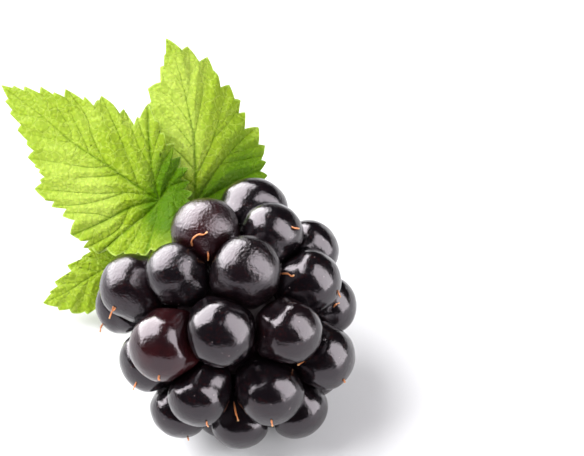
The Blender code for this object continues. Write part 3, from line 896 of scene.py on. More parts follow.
def drupelet_material(settings):
    """Taut black skin with red patches, fine orange-peel bumps and pale dust specks."""
    material, tree, shader = new_tree("drupelet_skin")
    place = place_of(tree)
    redness = mark_of(tree, "redness")
    patches = use_group(
        tree, mottle_group(), Place=place, Size=0.0021, Cover=0.5, Softness=0.2
    )
    flecks = use_group(
        tree, mottle_group(), Place=place, Size=0.00035, Cover=0.32, Softness=0.05
    )
    amount = math_node(tree, "MULTIPLY", redness, span(tree, patches, 0.0, 1.0, 0.45, 1.0))
    color = mix_color(tree, amount, rgba(settings.skin_color), rgba(settings.red_color))
    fleck_amount = math_node(tree, "MULTIPLY", flecks, 0.35)
    color = mix_color(tree, fleck_amount, color, FLECK_COLOR)
    dust = use_group(tree, speck_group(), Place=place, Spacing=0.0008, Size=0.07, Share=0.4)
    color = mix_color(tree, math_node(tree, "MULTIPLY", dust, 0.5), color, DUST_COLOR)
    tree.links.new(color, shader.inputs["Base Color"])
    smear = use_group(tree, mottle_group(), Place=place, Size=0.0013, Cover=0.5, Softness=0.25)
    dull = mark_of(tree, "dullness")
    rough = math_node(tree, "MULTIPLY_ADD", dull, 0.08, settings.skin_roughness - 0.03)
    rough = math_node(tree, "MULTIPLY_ADD", smear, 0.06, rough)
    tree.links.new(rough, shader.inputs["Roughness"])
    shader.inputs["IOR"].default_value = 1.5
    shader.inputs["Specular Tint"].default_value = SKIN_SHEEN_TINT
    peel = use_group(tree, grain_group(), Place=place, Size=0.00026, Roughness=0.5)
    swell = math_node(tree, "MULTIPLY_ADD", dull, 0.75, 0.3)
    add_bump(tree, shader, math_node(tree, "MULTIPLY", peel, swell), SKIN_BUMP)
    return material


def style_material(settings):
    """Dry tan hair, darker toward its foot."""
    material, tree, shader = new_tree("dried_style")
    along = mark_of(tree, "along")
    foot = tuple(channel * 0.45 for channel in settings.style_color)
    color = mix_color(tree, span(tree, along, 0.0, 0.6), rgba(foot), rgba(settings.style_color))
    color = mix_color(tree, span(tree, along, 0.82, 1.0), color, STYLE_TIP_COLOR)
    tree.links.new(color, shader.inputs["Base Color"])
    shader.inputs["Roughness"].default_value = 0.5
    fibre = use_group(tree, grain_group(), Place=place_of(tree), Size=0.00008, Roughness=0.5)
    add_bump(tree, shader, fibre, STYLE_BUMP, 0.6)
    return material


def core_material(settings):
    """Pale flesh at the neck, dark where the drupelets sit: stained by juice, and painted shade in
    the gaps between them.
    """
    material, tree, shader = new_tree("core_flesh")
    place = place_of(tree)
    stain_and_shade = mark_of(tree, "stain_and_shade")
    patches = use_group(tree, mottle_group(), Place=place, Size=0.0012, Cover=0.5, Softness=0.2)
    # Dark where the drupelets sit: stained by juice, and painted shade in the gaps between them.
    amount = span(tree, math_node(tree, "MULTIPLY_ADD", patches, 0.25, stain_and_shade), 0.35, 0.8)
    color = mix_color(tree, amount, rgba(settings.core_color), JUICE_AND_SHADE_COLOR)
    tree.links.new(color, shader.inputs["Base Color"])
    shader.inputs["Roughness"].default_value = 0.6
    grain = use_group(tree, grain_group(), Place=place, Size=0.0004, Roughness=0.6)
    add_bump(tree, shader, grain, CORE_BUMP, 0.6)
    return material


def green_material(name, color, deep, pale, grain_size):
    """Skin of the stalks and the calyx: green with paler and deeper streaks."""
    material, tree, shader = new_tree(name)
    place = place_of(tree)
    light = use_group(tree, mottle_group(), Place=place, Size=0.0009, Cover=0.45, Softness=0.2)
    shade = use_group(tree, mottle_group(), Place=place, Size=0.0004, Cover=0.35, Softness=0.15)
    mixed = mix_color(tree, math_node(tree, "MULTIPLY", light, 0.35), color, pale)
    mixed = mix_color(tree, math_node(tree, "MULTIPLY", shade, 0.5), mixed, deep)
    tree.links.new(mixed, shader.inputs["Base Color"])
    shader.inputs["Roughness"].default_value = 0.6
    shader.inputs["Sheen Weight"].default_value = 0.05
    grain = use_group(tree, grain_group(), Place=place, Size=grain_size, Roughness=0.6)
    add_bump(tree, shader, grain, GREEN_BUMP, 0.7)
    return material


def leaf_material(settings):
    """Leaf blade: fresh green with painted light and painted shade in patches, deeper along the
    veins with painted shade in their grooves, painted shade between small swellings, netted
    finely, with a pale edge.
    """
    material, tree, shader = new_tree("leaf_blade")
    place = place_of(tree)
    vein, edge = mark_of(tree, "vein"), mark_of(tree, "edge")
    tone_and_painted_light, under = mark_of(tree, "tone_and_painted_light"), mark_of(tree, "underside")
    net_line = use_group(tree, net_group(), Place=place, Size=0.0011, Width=0.09)
    pebble = use_group(tree, pebble_group(), Place=place, Size=0.00042)
    patches = use_group(tree, mottle_group(), Place=place, Size=0.004, Cover=0.5, Softness=0.3)
    # Paler patches: the leaf's own colour at random, and painted light where the blade faces the
    # light.
    paler = math_node(tree, "MULTIPLY_ADD", patches, 0.2, span(tree, tone_and_painted_light, 0.0, 1.0, 0.0, 0.9))
    color = mix_color(tree, paler, rgba(settings.blade_color), LEAF_PALE_AND_LIT_COLOR)
    # Deeper patches: the leaf's own deeper green near its base, and painted shade where the blade
    # faces away from the light.
    depth = span(tree, tone_and_painted_light, -1.0, 0.0, 1.0, 0.0)
    # Deeper green along the veins: partly their own colour, partly painted shade in their sunken
    # grooves.
    darker = math_node(tree, "MAXIMUM", math_node(tree, "MULTIPLY", vein, 0.9), depth)
    color = mix_color(tree, darker, color, rgba(settings.deep_color))
    # Painted shade: the green darkens between the small swellings, where shade would fall.
    between = math_node(tree, "MULTIPLY_ADD", pebble, -0.24, 0.24)
    color = mix_color(tree, between, color, LEAF_PAINTED_SHADE_COLOR)
    lines = math_node(tree, "MULTIPLY", net_line, span(tree, depth, 0.0, 1.0, 0.22, 0.05))
    color = mix_color(tree, lines, color, LEAF_NET_COLOR)
    rim = math_node(tree, "MULTIPLY", edge, span(tree, depth, 0.0, 0.8, 0.6, 0.15))
    color = mix_color(tree, rim, color, rgba(settings.pale_color))
    beneath = math_node(tree, "MULTIPLY", under, 0.5)
    color = mix_color(tree, beneath, color, rgba(settings.pale_color))
    tree.links.new(color, shader.inputs["Base Color"])
    shader.inputs["Roughness"].default_value = 0.5
    shader.inputs["Specular IOR Level"].default_value = 0.03
    shader.inputs["Subsurface Weight"].default_value = 0.2
    shader.inputs["Subsurface Radius"].default_value = (0.6, 1.0, 0.2)
    shader.inputs["Subsurface Scale"].default_value = 0.0004
    height = math_node(tree, "MULTIPLY_ADD", net_line, -0.5, pebble)
    grain = use_group(tree, grain_group(), Place=place, Size=0.0002, Roughness=0.6)
    height = math_node(tree, "MULTIPLY_ADD", grain, 0.4, height)
    add_bump(tree, shader, height, LEAF_BUMP)
    return material


def floor_material(settings):
    """Plain pale table with a faint grain."""
    material, tree, shader = new_tree("white_table")
    place = place_of(tree)
    shade = use_group(tree, mottle_group(), Place=place, Size=0.06, Cover=0.5, Softness=0.3)
    darker = tuple(channel * 0.985 for channel in settings.floor_color)
    color = mix_color(tree, shade, rgba(settings.floor_color), rgba(darker))
    tree.links.new(color, shader.inputs["Base Color"])
    shader.inputs["Roughness"].default_value = 0.7
    shader.inputs["Specular IOR Level"].default_value = 0.1
    return material


# ---------------------------------------------------------------------------- drupelets


def drupelet_balls():
    """Return every drupelet's middle and radius, in millimetres."""
    middle = berry_middle()
    names = [f"drupelet_{number:02d}" for number in range(1, DRUPELET_COUNT + 1)]
    balls = [ball_of(name, middle) for name in names]
    return middle, names, np.array([ball[0] for ball in balls]), [ball[1] for ball in balls]


def pressing_planes(index, middle, middles, radii):
    """Return the normals and distances of what presses on one drupelet."""
    here, radius = middles[index], radii[index]
    outward = (here - middle) / np.linalg.norm(here - middle)
    normals, distances = [-outward], [radius * INNER_DEPTH]
    for other, place in enumerate(middles):
        apart = np.linalg.norm(place - here)
        if other == index or apart > NEIGHBOUR_REACH * radius + radii[other]:
            continue
        normals.append((place - here) / apart)
        distances.append(apart * radius / (radius + radii[other]) - SKIN_GAP / 2)
    tip = berry_axes()[2]
    axial = (here - middle) @ tip
    from_axis = (here - middle) - tip * axial
    aside = np.linalg.norm(from_axis)
    if axial < 0:
        normals.append(-tip)
        distances.append(axial - CALYX_AXIAL - CALYX_ROOM)
        if aside < NECK_ROOM + radius:
            normals.append(-from_axis / aside)
            distances.append(aside - NECK_ROOM)
    return outward, np.array(normals), np.array(distances)


def skin_distance(ways, radius, outward, normals, distances):
    """Return how far the skin lies from the drupelet's middle along each way."""
    facing = ways @ outward
    flat = np.maximum(facing, 0) / OUTWARD_SHARE
    aside = np.sqrt(np.clip(1 - facing**2, 0, 1)) / SIDEWAYS_SHARE
    inner = SIDEWAYS_SHARE * (1 + INNER_SWELL * facing**2)
    free = radius * np.where(facing < 0, inner, 1 / np.hypot(flat, np.maximum(aside, 1e-6)))
    facing = np.maximum(0, ways @ normals.T) / distances
    return (free**-SKIN_CRISPNESS + (facing**SKIN_CRISPNESS).sum(1)) ** (-1 / SKIN_CRISPNESS)


def make_drupelet(name, number, middle, middles, radii, fineness):
    """Mesh one drupelet: a ball pressed by its neighbours, with soft dents in its skin."""
    index = number - 1
    outward, normals, distances = pressing_planes(index, middle, middles, radii)
    shape = bmesh.new()
    bmesh.ops.create_icosphere(shape, subdivisions=fineness, radius=1.0)
    ways = np.array([vertex.co.normalized() for vertex in shape.verts])
    faces = [[vertex.index for vertex in face.verts] for face in shape.faces]
    shape.free()
    far = skin_distance(ways, radii[index], outward, normals, distances)
    points = middles[index] + ways * far[:, None]
    wide = WIDE_DENTS[0] * wavy(points, WIDE_DENTS[1], number)
    dents = wide + SMALL_DENTS[0] * wavy(points, SMALL_DENTS[1], number + 50)
    points += ways * dents[:, None]
    points[:, 2] = np.maximum(points[:, 2], SKIN_LOWEST)
    red = RED_DRUPELETS.get(number, 0.0)
    redness = np.clip(red * (0.75 + 0.5 * wavy(points, 3.0, number)) + 0.02, 0, 1)
    dull = DULL_DRUPELETS.get(number, 0.0)
    dullness = np.clip(dull * (0.8 + 0.6 * wavy(points, 2.2, number + 9)), 0, 1)
    return add_mesh(name + "_skin", points, faces, {"redness": redness, "dullness": dullness})


class BERRY_OT_drupelets(bpy.types.Operator):
    """Build the glossy drupelets"""

    bl_idname = "berry.drupelets"
    bl_label = "Drupelets"

    def execute(self, context):
        settings = context.scene.berry_settings
        material = drupelet_material(settings)
        middle, names, middles, radii = drupelet_balls()
        for number, name in enumerate(names, 1):
            piece = make_drupelet(name, number, middle, middles, radii, settings.fineness)
            finish_piece(piece, material, name)
        return {"FINISHED"}


# ---------------------------------------------------------------------------- styles


def style_route(index, guides, balls):
    """Return a dried style's route: it starts inside the skin and then stays above it."""
    middle, _, middles, radii = balls
    route = smooth_route(guides, STYLE_STEPS)
    far = np.linalg.norm(route, axis=1)
    ways = route / far[:, None]
    outward, normals, distances = pressing_planes(index, middle, middles, radii)
    skin = skin_distance(ways, radii[index], outward, normals, distances)
    rise = np.minimum(np.arange(STYLE_STEPS) / 3 - 1, 1) * STYLE_LIFT
    route = middles[index] + ways * np.maximum(far, skin + rise)[:, None]
    route[:, 2] = np.maximum(route[:, 2], STYLE_RADIUS)
    return route


def hidden_style(outward, chance):
    """Return the guides of a dried style that stands freely on a drupelet's outer side."""
    swing = np.array([chance.uniform(-0.35, 0.35) for _ in range(3)])
    foot = outward + 0.55 * berry_axes()[2] + swing
    foot *= 2.0 / np.linalg.norm(foot)
    run = (0.8 * outward + berry_axes()[2] + 2 * swing) * chance.uniform(*HIDDEN_STYLE_LENGTH)
    curl = np.cross(run, outward) * chance.uniform(-0.3, 0.3)
    return foot, foot * 1.4, foot * 1.4 + 0.5 * run + curl, foot * 1.4 + run


class BERRY_OT_styles(bpy.types.Operator):
    """Build the dried styles that are left on the drupelets"""

    bl_idname = "berry.styles"
    bl_label = "Dried styles"

    def execute(self, context):
        material = style_material(context.scene.berry_settings)
        balls = drupelet_balls()
        middle, _, middles, _ = balls
        chance = random.Random(21)
        rows = [(number, [fan_place(*place) for place in route]) for number, route in STYLES]
        for number in HIDDEN_DRUPELETS:
            outward = middles[number - 1] - middle
            rows.append((number, hidden_style(outward / np.linalg.norm(outward), chance)))
        for count, (number, guides) in enumerate(rows, 1):
            route = style_route(number - 1, guides, balls)
            along = np.linspace(0, 1, STYLE_STEPS)
            knots = 0.2 * np.sin(along * 9 + count) + 0.15 * np.sin(along * 23 + 2 * count)
            thick = STYLE_RADIUS * (1.1 - 0.35 * along + knots + 0.3 * (along > 0.9))
            points, faces = tube_shape(route, thick, STYLE_SIDES)
            marks = np.concatenate(([0], np.repeat(along, STYLE_SIDES), [1]))
            piece = add_mesh(f"dried_style_{count:02d}", points, faces, {"along": marks})
            finish_piece(piece, material)
        return {"FINISHED"}


# ---------------------------------------------------------------------------- core


class BERRY_OT_core(bpy.types.Operator):
    """Build the core that the drupelets sit on"""

    bl_idname = "berry.core"
    bl_label = "Core"

    def execute(self, context):
        right, upper, tip = berry_axes()
        middle = berry_middle()
        profile = smooth_route([(r, z, 0.0) for r, z in CORE_PROFILE[1:-1]], CORE_STEPS)[:, :2]
        rings = []
        for radius, high in profile:
            turn = np.linspace(0, 2 * math.pi, CORE_SIDES, endpoint=False)[:, None]
            rings.append(middle + tip * high
                         + radius * (np.cos(turn) * right + np.sin(turn) * upper))
        body = np.vstack(rings)
        body += 0.12 * wavy(body, 1.1, 5)[:, None] * (body - middle) / 6
        ends = np.array([middle + tip * CORE_PROFILE[0][1], middle + tip * CORE_PROFILE[-1][1]])
        points = np.vstack((ends[:1], body, ends[1:]))
        faces = [face[::-1] for face in closed_faces(len(rings), CORE_SIDES)]
        along = (points - middle) @ tip
        # Darker from the neck toward the drupelets: stained by juice, and painted shade for the
        # gaps.
        piece = add_mesh("core_flesh", points, faces, {"stain_and_shade": np.clip((along + 9) / 4, 0, 1)})
        finish_piece(piece, core_material(context.scene.berry_settings), "receptacle")
        return {"FINISHED"}


# ---------------------------------------------------------------------------- calyx


def calyx_surface():
    """Return the calyx's middle surface as rings, and its middle point."""
    right, upper, tip = berry_axes()
    hub = berry_middle() + tip * CALYX_AXIAL
    turn = np.linspace(0, 2 * math.pi, CALYX_SIDES, endpoint=False)
    reach = CALYX_DISC + SEPAL_LENGTH * np.abs(np.cos(turn * SEPAL_COUNT / 2)) ** 0.9
    aside = np.cos(turn)[:, None] * right + np.sin(turn)[:, None] * upper
    rings = []
    for share in np.linspace(0, 1, CALYX_RINGS + 1)[1:]:
        far = reach * share
        flat = np.minimum(far, CALYX_DISC)
        past = far - flat
        rim = np.abs(np.sin(turn * SEPAL_COUNT / 2))
        across = flat + past * (1 - SEPAL_BEND) + 0.12 * past * rim
        back = past * math.sqrt(1 - (1 - SEPAL_BEND) ** 2) + 0.10 * np.sin(past * 1.5)
        rings.append(hub + aside * across[:, None] - tip * back[:, None])
    return hub, np.array(rings)


def sheet_shape(hub, rings, thickness):
    """Return the points and faces of a closed sheet round a hub; thickness is per ring point."""
    steps = rings.shape[1]
    ahead = np.gradient(np.concatenate((np.tile(hub, (1, steps, 1)), rings)), axis=0)[1:]
    round_ = np.roll(rings, -1, 1) - np.roll(rings, 1, 1)
    normals = np.cross(ahead, round_)
    normals /= np.maximum(np.linalg.norm(normals, axis=2), 1e-9)[..., None]
    hub_normal = normals[0].mean(0)
    hub_normal /= np.linalg.norm(hub_normal)
    half = thickness[..., None] / 2
    top, bottom = rings + normals * half, rings - normals * half
    count = rings.shape[0] * steps
    points = np.vstack((
        hub + hub_normal * half[0, 0], top.reshape(-1, 3),
        hub - hub_normal * half[0, 0], bottom.reshape(-1, 3),
    ))
    faces = []
    for start, flip in ((0, False), (count + 1, True)):
        for step in range(steps):
            after = (step + 1) % steps
            some = [(start, start + 1 + step, start + 1 + after)]
            for ring in range(rings.shape[0] - 1):
                low = start + 1 + ring * steps
                high = low + steps
                some.append((low + step, high + step, high + after, low + after))
            faces += [face[::-1] for face in some] if flip else some
    rim = 1 + count - steps
    for step in range(steps):
        after = (step + 1) % steps
        under = rim + count + 1
        faces.append((rim + step, under + step, under + after, rim + after))
    return points, faces, normals


class BERRY_OT_calyx(bpy.types.Operator):
    """Build the calyx with its woolly hairs"""

    bl_idname = "berry.calyx"
    bl_label = "Calyx"

    def execute(self, context):
        leaf = context.scene.leaf_settings
        hub, rings = calyx_surface()
        share = np.linspace(0, 1, CALYX_RINGS)[:, None]
        thickness = np.broadcast_to(CALYX_THICKNESS * (1 - 0.6 * share), rings.shape[:2])
        points, faces, normals = sheet_shape(hub, rings, thickness)
        piece = add_mesh("calyx_sepals", points, faces)
        material = green_material(
            "calyx_skin", SEPAL_COLOR, rgba(leaf.deep_color), SEPAL_PALE_COLOR, 0.0003
        )
        finish_piece(piece, material, "calyx")
        chance = random.Random(4)
        shapes = []
        for _ in range(CALYX_HAIRS):
            ring = chance.randrange(4, CALYX_RINGS)
            step = chance.randrange(CALYX_SIDES)
            side = chance.choice((-1, 1))
            foot = rings[ring, step] + normals[ring, step] * side * 0.05
            lean = np.array([chance.uniform(-1, 1) for _ in range(3)])
            way = normals[ring, step] * side + 0.7 * lean
            way *= chance.uniform(0.15, 0.35) / np.linalg.norm(way)
            route = np.array([foot, foot + way * 0.6, foot + way + 0.04 * lean])
            shapes.append(tube_shape(route, HAIR_RADII, HAIR_SIDES))
        down = add_mesh("calyx_down", *join_shapes(shapes))
        finish_piece(down, green_material("pale_down", *DOWN_COLORS, 0.0002))
        return {"FINISHED"}


# ---------------------------------------------------------------------------- stalk


class BERRY_OT_stalk(bpy.types.Operator):
    """Build the cut stalk with its prickles"""

    bl_idname = "berry.stalk"
    bl_label = "Stalk"

    def execute(self, context):
        leaf = context.scene.leaf_settings
        middle = berry_middle()
        route = smooth_route([middle + fan_place(*place) for place in STALK_ROUTE], STALK_STEPS)
        share = np.linspace(0, 1, STALK_STEPS)
        radii = STALK_RADIUS * (0.86 + 0.12 * np.cos(share * 9) ** 2 + 0.02 * np.sin(share * 40))
        points, faces = tube_shape(route, radii, STALK_SIDES, dome=0.08)
        points += 0.03 * wavy(points, 0.5, 9)[:, None]
        shapes = [(points, faces)]
        for along, turn, length in PRICKLES:
            index = int(along * (STALK_STEPS - 2))
            ahead = route[index + 1] - route[index]
            ahead /= np.linalg.norm(ahead)
            side = np.cross(ahead, (0.0, 0.0, 1.0))
            side /= np.linalg.norm(side)
            other = np.cross(ahead, side)
            way = math.cos(math.radians(turn)) * side + math.sin(math.radians(turn)) * other
            foot = route[index] + way * STALK_RADIUS * 0.8
            thorn = np.array([
                foot, foot + way * 0.4 * length, foot + way * 0.8 * length - ahead * 0.12,
                foot + way * length - ahead * 0.3,
            ])
            shapes.append(tube_shape(thorn, PRICKLE_RADII, PRICKLE_SIDES))
        piece = add_mesh("stalk_skin", *join_shapes(shapes))
        material = green_material(
            "stalk_skin", rgba(leaf.stalk_color), STALK_RED_COLOR, rgba(leaf.pale_color), 0.00025
        )
        finish_piece(piece, material, "fruit_stalk")
        return {"FINISHED"}


# ---------------------------------------------------------------------------- leaves


def leaf_edge(leaf):
    """Return the leaf's toothed edge, finely stepped, as angles and distances from its base."""
    corners = list(leaf["edge"])
    corners.append((corners[0][0] + 360, corners[0][1]))
    edge = []
    for here, there in zip(corners, corners[1:]):
        sideways = math.radians(there[0] - here[0]) * (here[1] + there[1]) / 2
        length = math.hypot(sideways, there[1] - here[1])
        steps = max(2, round(length / EDGE_STEP))
        for step in range(steps):
            share = step / steps
            edge.append((
                here[0] + (there[0] - here[0]) * share,
                here[1] + (there[1] - here[1]) * share
                + EDGE_BULGE * sideways * math.sin(math.pi * share),
            ))
    return np.array(edge)


def vein_lines(routes):
    """Return some veins as smooth flat routes from the leaf's base."""
    return [
        smooth_route([(*place, 0) for place in route], VEIN_STEPS)[:, :2] for route in routes
    ]


def distance_to(lines, places):
    """Return each place's distance to the nearest of some routes."""
    nearest = np.full(len(places), 1e9)
    for line in lines:
        for start, end in zip(line, line[1:]):
            run = end - start
            share = np.clip(((places - start) @ run) / max(run @ run, 1e-9), 0, 1)
            gap = np.linalg.norm(places - start - share[:, None] * run, axis=1)
            nearest = np.minimum(nearest, gap)
    return nearest


def blade_out(leaf, angle, far):
    """Return how far the blade stands out of the fan: its fold, slope, bend, droop and rise."""
    midrib_angle, midrib_turn = leaf["midrib"]
    beside = np.radians(angle - midrib_angle - midrib_turn * far)
    fold = np.where(np.sin(beside) < 0, leaf["folds"][0], leaf["folds"][1])
    crease = np.sqrt((far * np.sin(beside)) ** 2 + CREASE) - math.sqrt(CREASE)
    droop_angle, droop = leaf["droop"]
    drooping = np.maximum(0, np.sin(np.radians(droop_angle - angle)))
    rise_angle, rise = leaf["rise"]
    rising = np.maximum(0, np.cos(np.radians(angle - rise_angle))) ** 2
    return (
        far * (rise * rising - droop * drooping - leaf["slope"] * np.cos(beside))
        - leaf["bend"] * far**2
        - fold * crease
    )


def make_leaf(name, leaf, middle, thickness):
    """Mesh one leaf: toothed edge, sunken veins, quilted blade and ribs underneath."""
    edge = leaf_edge(leaf)
    shares = (np.arange(1, BLADE_RINGS + 1) / BLADE_RINGS) ** 0.9
    angle = np.broadcast_to(edge[:, 0], (BLADE_RINGS, len(edge)))
    far = shares[:, None] * edge[None, :, 1]
    flat = np.stack((far * np.cos(np.radians(angle)), far * np.sin(np.radians(angle))), -1)
    places = flat.reshape(-1, 2)
    mains, sides = vein_lines(leaf["mains"]), vein_lines(leaf["sides"])
    main_gap = distance_to(mains, places).reshape(far.shape)
    side_gap = distance_to(sides, places).reshape(far.shape)
    taper = np.clip(1.15 - far / edge[:, 1].max(), 0.3, 1)
    main = np.exp(-((main_gap / (MAIN_GROOVE[1] * taper)) ** 2)) * taper
    side = np.exp(-((side_gap / (SIDE_GROOVE[1] * taper)) ** 2)) * taper
    gap = np.minimum(main_gap, side_gap)
    quilt = 1 - np.exp(-((gap / QUILT_WIDTH) ** 2))
    solid = np.c_[places, np.zeros(len(places))]
    ripple = (wavy(solid, 3.5, leaf["seed"]) + 0.35 * wavy(solid, 1.2, leaf["seed"] + 1))
    ripple = ripple.reshape(far.shape) * shares[:, None]
    puff = 0.35 * wavy(solid, 0.55, leaf["seed"] + 2).reshape(far.shape)
    rise = (
        QUILT_HEIGHT * quilt * (1 + puff)
        - MAIN_GROOVE[0] * main
        - SIDE_GROOVE[0] * side
        + RIPPLE_HEIGHT * ripple
    )
    base = leaf["base"]
    out = base[2] + blade_out(leaf, angle, far)
    rings = middle + fan_place(base[0] + flat[..., 0], base[1] + flat[..., 1], out + rise)
    hub = middle + fan_place(base[0], base[1], base[2] - MAIN_GROOVE[0])
    from_edge = edge[None, :, 1] - far
    thin = BLADE_EDGE + (thickness - BLADE_EDGE) * np.clip(from_edge / THINNING_WIDTH, 0, 1)
    ribs = MAIN_RIB[0] * np.exp(-((main_gap / MAIN_RIB[1]) ** 2)) * taper + SIDE_RIB_HEIGHT * side
    points, faces, normals = sheet_shape(hub, rings, thin)
    count = far.size
    under = slice(count + 2, 2 * count + 2)
    points[under] -= (normals * ribs[..., None]).reshape(-1, 3)
    line = np.clip(np.maximum(main, 0.75 * side), 0, 1)
    rim = np.clip(1 - from_edge / RIM_WIDTH, 0, 1)
    # Paler and deeper parts of the blade: its own colour, and painted light and painted shade.
    tone_and_painted_light = np.zeros(far.shape)
    for across, up, radius, amount in leaf["tones_and_painted_light"]:
        tone_and_painted_light += amount * np.exp(-((flat - (across, up)) ** 2).sum(-1) / radius**2)
    marks = {}
    for label, values in (("vein", line), ("edge", rim), ("tone_and_painted_light", tone_and_painted_light)):
        flat_values = values.reshape(-1)
        marks[label] = np.concatenate(([flat_values[0]], flat_values) * 2)
    marks["underside"] = np.concatenate((np.zeros(count + 1), np.ones(count + 1)))
    return add_mesh(name + "_blade", points, faces, marks)


def make_petiole(name, leaf, middle):
    """Mesh a leaf's own stalk, from inside its blade to the fruit's stalk."""
    base = np.array(leaf["base"], float)
    turn = math.radians(leaf["midrib"][0])
    ahead = np.array((math.cos(turn), math.sin(turn)))
    inside = [
        fan_place(*(base[:2] + ahead * far), base[2] - under
                  + float(blade_out(leaf, leaf["midrib"][0], far)))
        for far, under in PETIOLE_START
    ]
    end = fan_place(*leaf["petiole_end"])
    end = end + (end - inside[-1]) * PETIOLE_OVERLAP
    sag = (inside[-1] + end) / 2 + np.array((0, 0.1, -0.25))
    route = smooth_route(middle + np.array([*inside, sag, end]), PETIOLE_STEPS)
    share = np.linspace(0, 1, PETIOLE_STEPS)
    radii = PETIOLE_RADIUS * (0.35 + 0.65 * np.clip(share * 2.6, 0, 1) + 0.15 * share**3)
    points, faces = tube_shape(route, radii, PETIOLE_SIDES)
    points += 0.02 * wavy(points, 0.4, leaf["seed"])[:, None]
    return add_mesh(name + "_petiole", points, faces)


class BERRY_OT_leaves(bpy.types.Operator):
    """Build the three toothed leaves"""

    bl_idname = "berry.leaves"
    bl_label = "Leaves"

    def execute(self, context):
        settings = context.scene.leaf_settings
        middle = berry_middle()
        blade = leaf_material(settings)
        skin = green_material(
            "petiole_skin", rgba(settings.stalk_color), rgba(settings.deep_color),
            rgba(settings.pale_color), 0.0002
        )
        for name, leaf in LEAVES.items():
            piece = make_leaf(name, leaf, middle, settings.thickness / MM)
            finish_piece(piece, blade, name)
            finish_piece(make_petiole(name, leaf, middle), skin)
        return {"FINISHED"}


# ---------------------------------------------------------------------------- stage


def add_light(name, kind, power, way, seen):
    """Add a light that the camera doesn't see, for matt surfaces or for reflections."""
    data = bpy.data.lights.new(name, kind)
    data.energy = power
    light = bpy.data.objects.new(name, data)
    light.rotation_euler = Vector(way).to_track_quat("Z", "Y").to_euler()
    light.visible_camera = False
    light.visible_diffuse = seen == "matt"
    light.visible_glossy = seen == "gloss"
    bpy.context.scene.collection.objects.link(light)
    return light


def add_box_light(name, power, way, distance, size, roll, seen):
    """Add a rectangular light at a distance from the berry, turned about its own axis."""
    light = add_light(name, "AREA", power, way, seen)
    light.data.shape = "RECTANGLE"
    light.data.size, light.data.size_y = size
    light.location = Vector(berry_middle()) * MM + Vector(way).normalized() * distance
    facing = Vector(way).to_track_quat("Z", "Y")
    light.rotation_euler = (facing @ Quaternion((0, 0, 1), roll)).to_euler()


def make_world():
    """A pale backdrop to look at, soft light on matt things and near darkness in reflections."""
    world = bpy.data.worlds.new("studio")
    world.use_nodes = True
    tree = world.node_tree
    background = tree.nodes["Background"]
    rays = tree.nodes.new("ShaderNodeLightPath")
    matt, seen = rays.outputs["Is Diffuse Ray"], rays.outputs["Is Camera Ray"]
    strength = math_node(tree, "MULTIPLY_ADD", matt, WORLD_ON_MATT, WORLD_REFLECTED)
    strength = math_node(tree, "MULTIPLY_ADD", seen, WORLD_SEEN, strength)
    background.inputs["Color"].default_value = WORLD_COLOR
    tree.links.new(strength, background.inputs["Strength"])
    bpy.context.scene.world = world


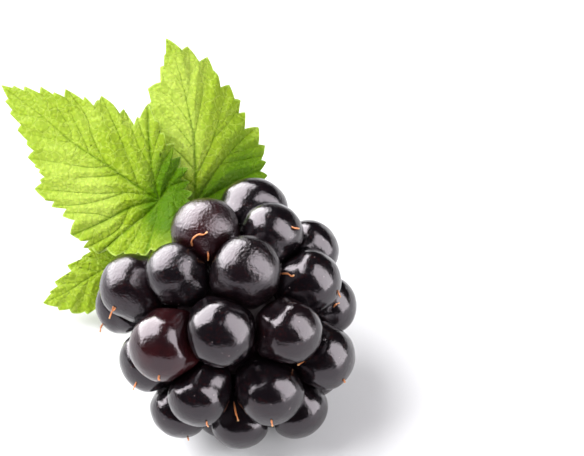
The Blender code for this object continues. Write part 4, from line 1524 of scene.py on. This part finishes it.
class BERRY_OT_stage(bpy.types.Operator):
    """Set up the table, the lights and the camera"""

    bl_idname = "berry.stage"
    bl_label = "Table, light and camera"

    def execute(self, context):
        settings = context.scene.stage_settings
        floor = add_mesh(
            "table_top",
            [(TABLE_HALF * x, TABLE_HALF * y, 0) for x, y in ((-1, -1), (1, -1), (1, 1), (-1, 1))],
            [(0, 1, 2, 3)],
        )
        floor.data.materials.append(floor_material(settings))
        key = add_light("key_light", "SUN", settings.key_strength, KEY_WAY, "matt")
        key.data.angle = KEY_ANGLE
        add_box_light(
            "fill_light", settings.fill_power, FILL_WAY, LIGHT_DISTANCE, FILL_SIZE, 0, "matt"
        )
        add_box_light(
            "key_sheen", settings.key_sheen, KEY_SHEEN_WAY, SHEEN_DISTANCE, KEY_SHEEN_SIZE,
            KEY_SHEEN_ROLL, "gloss",
        )
        add_box_light(
            "fill_sheen", settings.fill_sheen, FILL_SHEEN_WAY, SHEEN_DISTANCE,
            FILL_SHEEN_SIZE, 0, "gloss",
        )
        make_world()
        middle = Vector(berry_middle()) * MM
        back = Vector((0, -math.cos(CAMERA_TILT), math.sin(CAMERA_TILT)))
        up = Vector((0, math.sin(CAMERA_TILT), math.cos(CAMERA_TILT)))
        aim = middle + (Vector((CAMERA_AIM[0], 0, 0)) + up * CAMERA_AIM[1]) * MM
        data = bpy.data.cameras.new("camera")
        data.lens = CAMERA_LENS
        data.clip_start, data.clip_end = 0.01, 20
        camera = bpy.data.objects.new("camera", data)
        camera.location = aim + back * CAMERA_DISTANCE * MM
        camera.rotation_euler = (math.pi / 2 - CAMERA_TILT, 0, 0)
        context.scene.collection.objects.link(camera)
        context.scene.camera = camera
        context.scene.view_settings.view_transform = "Standard"
        return {"FINISHED"}


# ---------------------------------------------------------------------------- add-on


class BERRY_PT_panel(bpy.types.Panel):
    """Sidebar panel with the settings and a button for each builder"""

    bl_idname = "BERRY_PT_panel"
    bl_label = "Bramble Berry"
    bl_space_type = "VIEW_3D"
    bl_region_type = "UI"
    bl_category = "Bramble Berry"

    def draw(self, context):
        for settings in ("berry_settings", "leaf_settings", "stage_settings"):
            group = getattr(context.scene, settings)
            column = self.layout.column(align=True)
            for label in group.__annotations__:
                column.prop(group, label)
        for operator in OPERATORS:
            self.layout.operator(operator.bl_idname)


SETTINGS = {
    "berry_settings": BerrySettings,
    "leaf_settings": LeafSettings,
    "stage_settings": StageSettings,
}
OPERATORS = (
    BERRY_OT_drupelets, BERRY_OT_styles, BERRY_OT_core, BERRY_OT_calyx, BERRY_OT_stalk,
    BERRY_OT_leaves, BERRY_OT_stage,
)


def register():
    """Register the classes and hang the settings on the scene."""
    for name, group in SETTINGS.items():
        bpy.utils.register_class(group)
        setattr(bpy.types.Scene, name, PointerProperty(type=group))
    for item in (*OPERATORS, BERRY_PT_panel):
        bpy.utils.register_class(item)


def unregister():
    """Take the classes and the settings away again."""
    for item in reversed((*OPERATORS, BERRY_PT_panel)):
        bpy.utils.unregister_class(item)
    for name, group in SETTINGS.items():
        delattr(bpy.types.Scene, name)
        bpy.utils.unregister_class(group)


def main():
    """Build everything in order."""
    register()
    bpy.ops.berry.drupelets()
    bpy.ops.berry.styles()
    bpy.ops.berry.core()
    bpy.ops.berry.calyx()
    bpy.ops.berry.stalk()
    bpy.ops.berry.leaves()
    bpy.ops.berry.stage()
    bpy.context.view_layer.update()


if __name__ == "__main__":
    main()
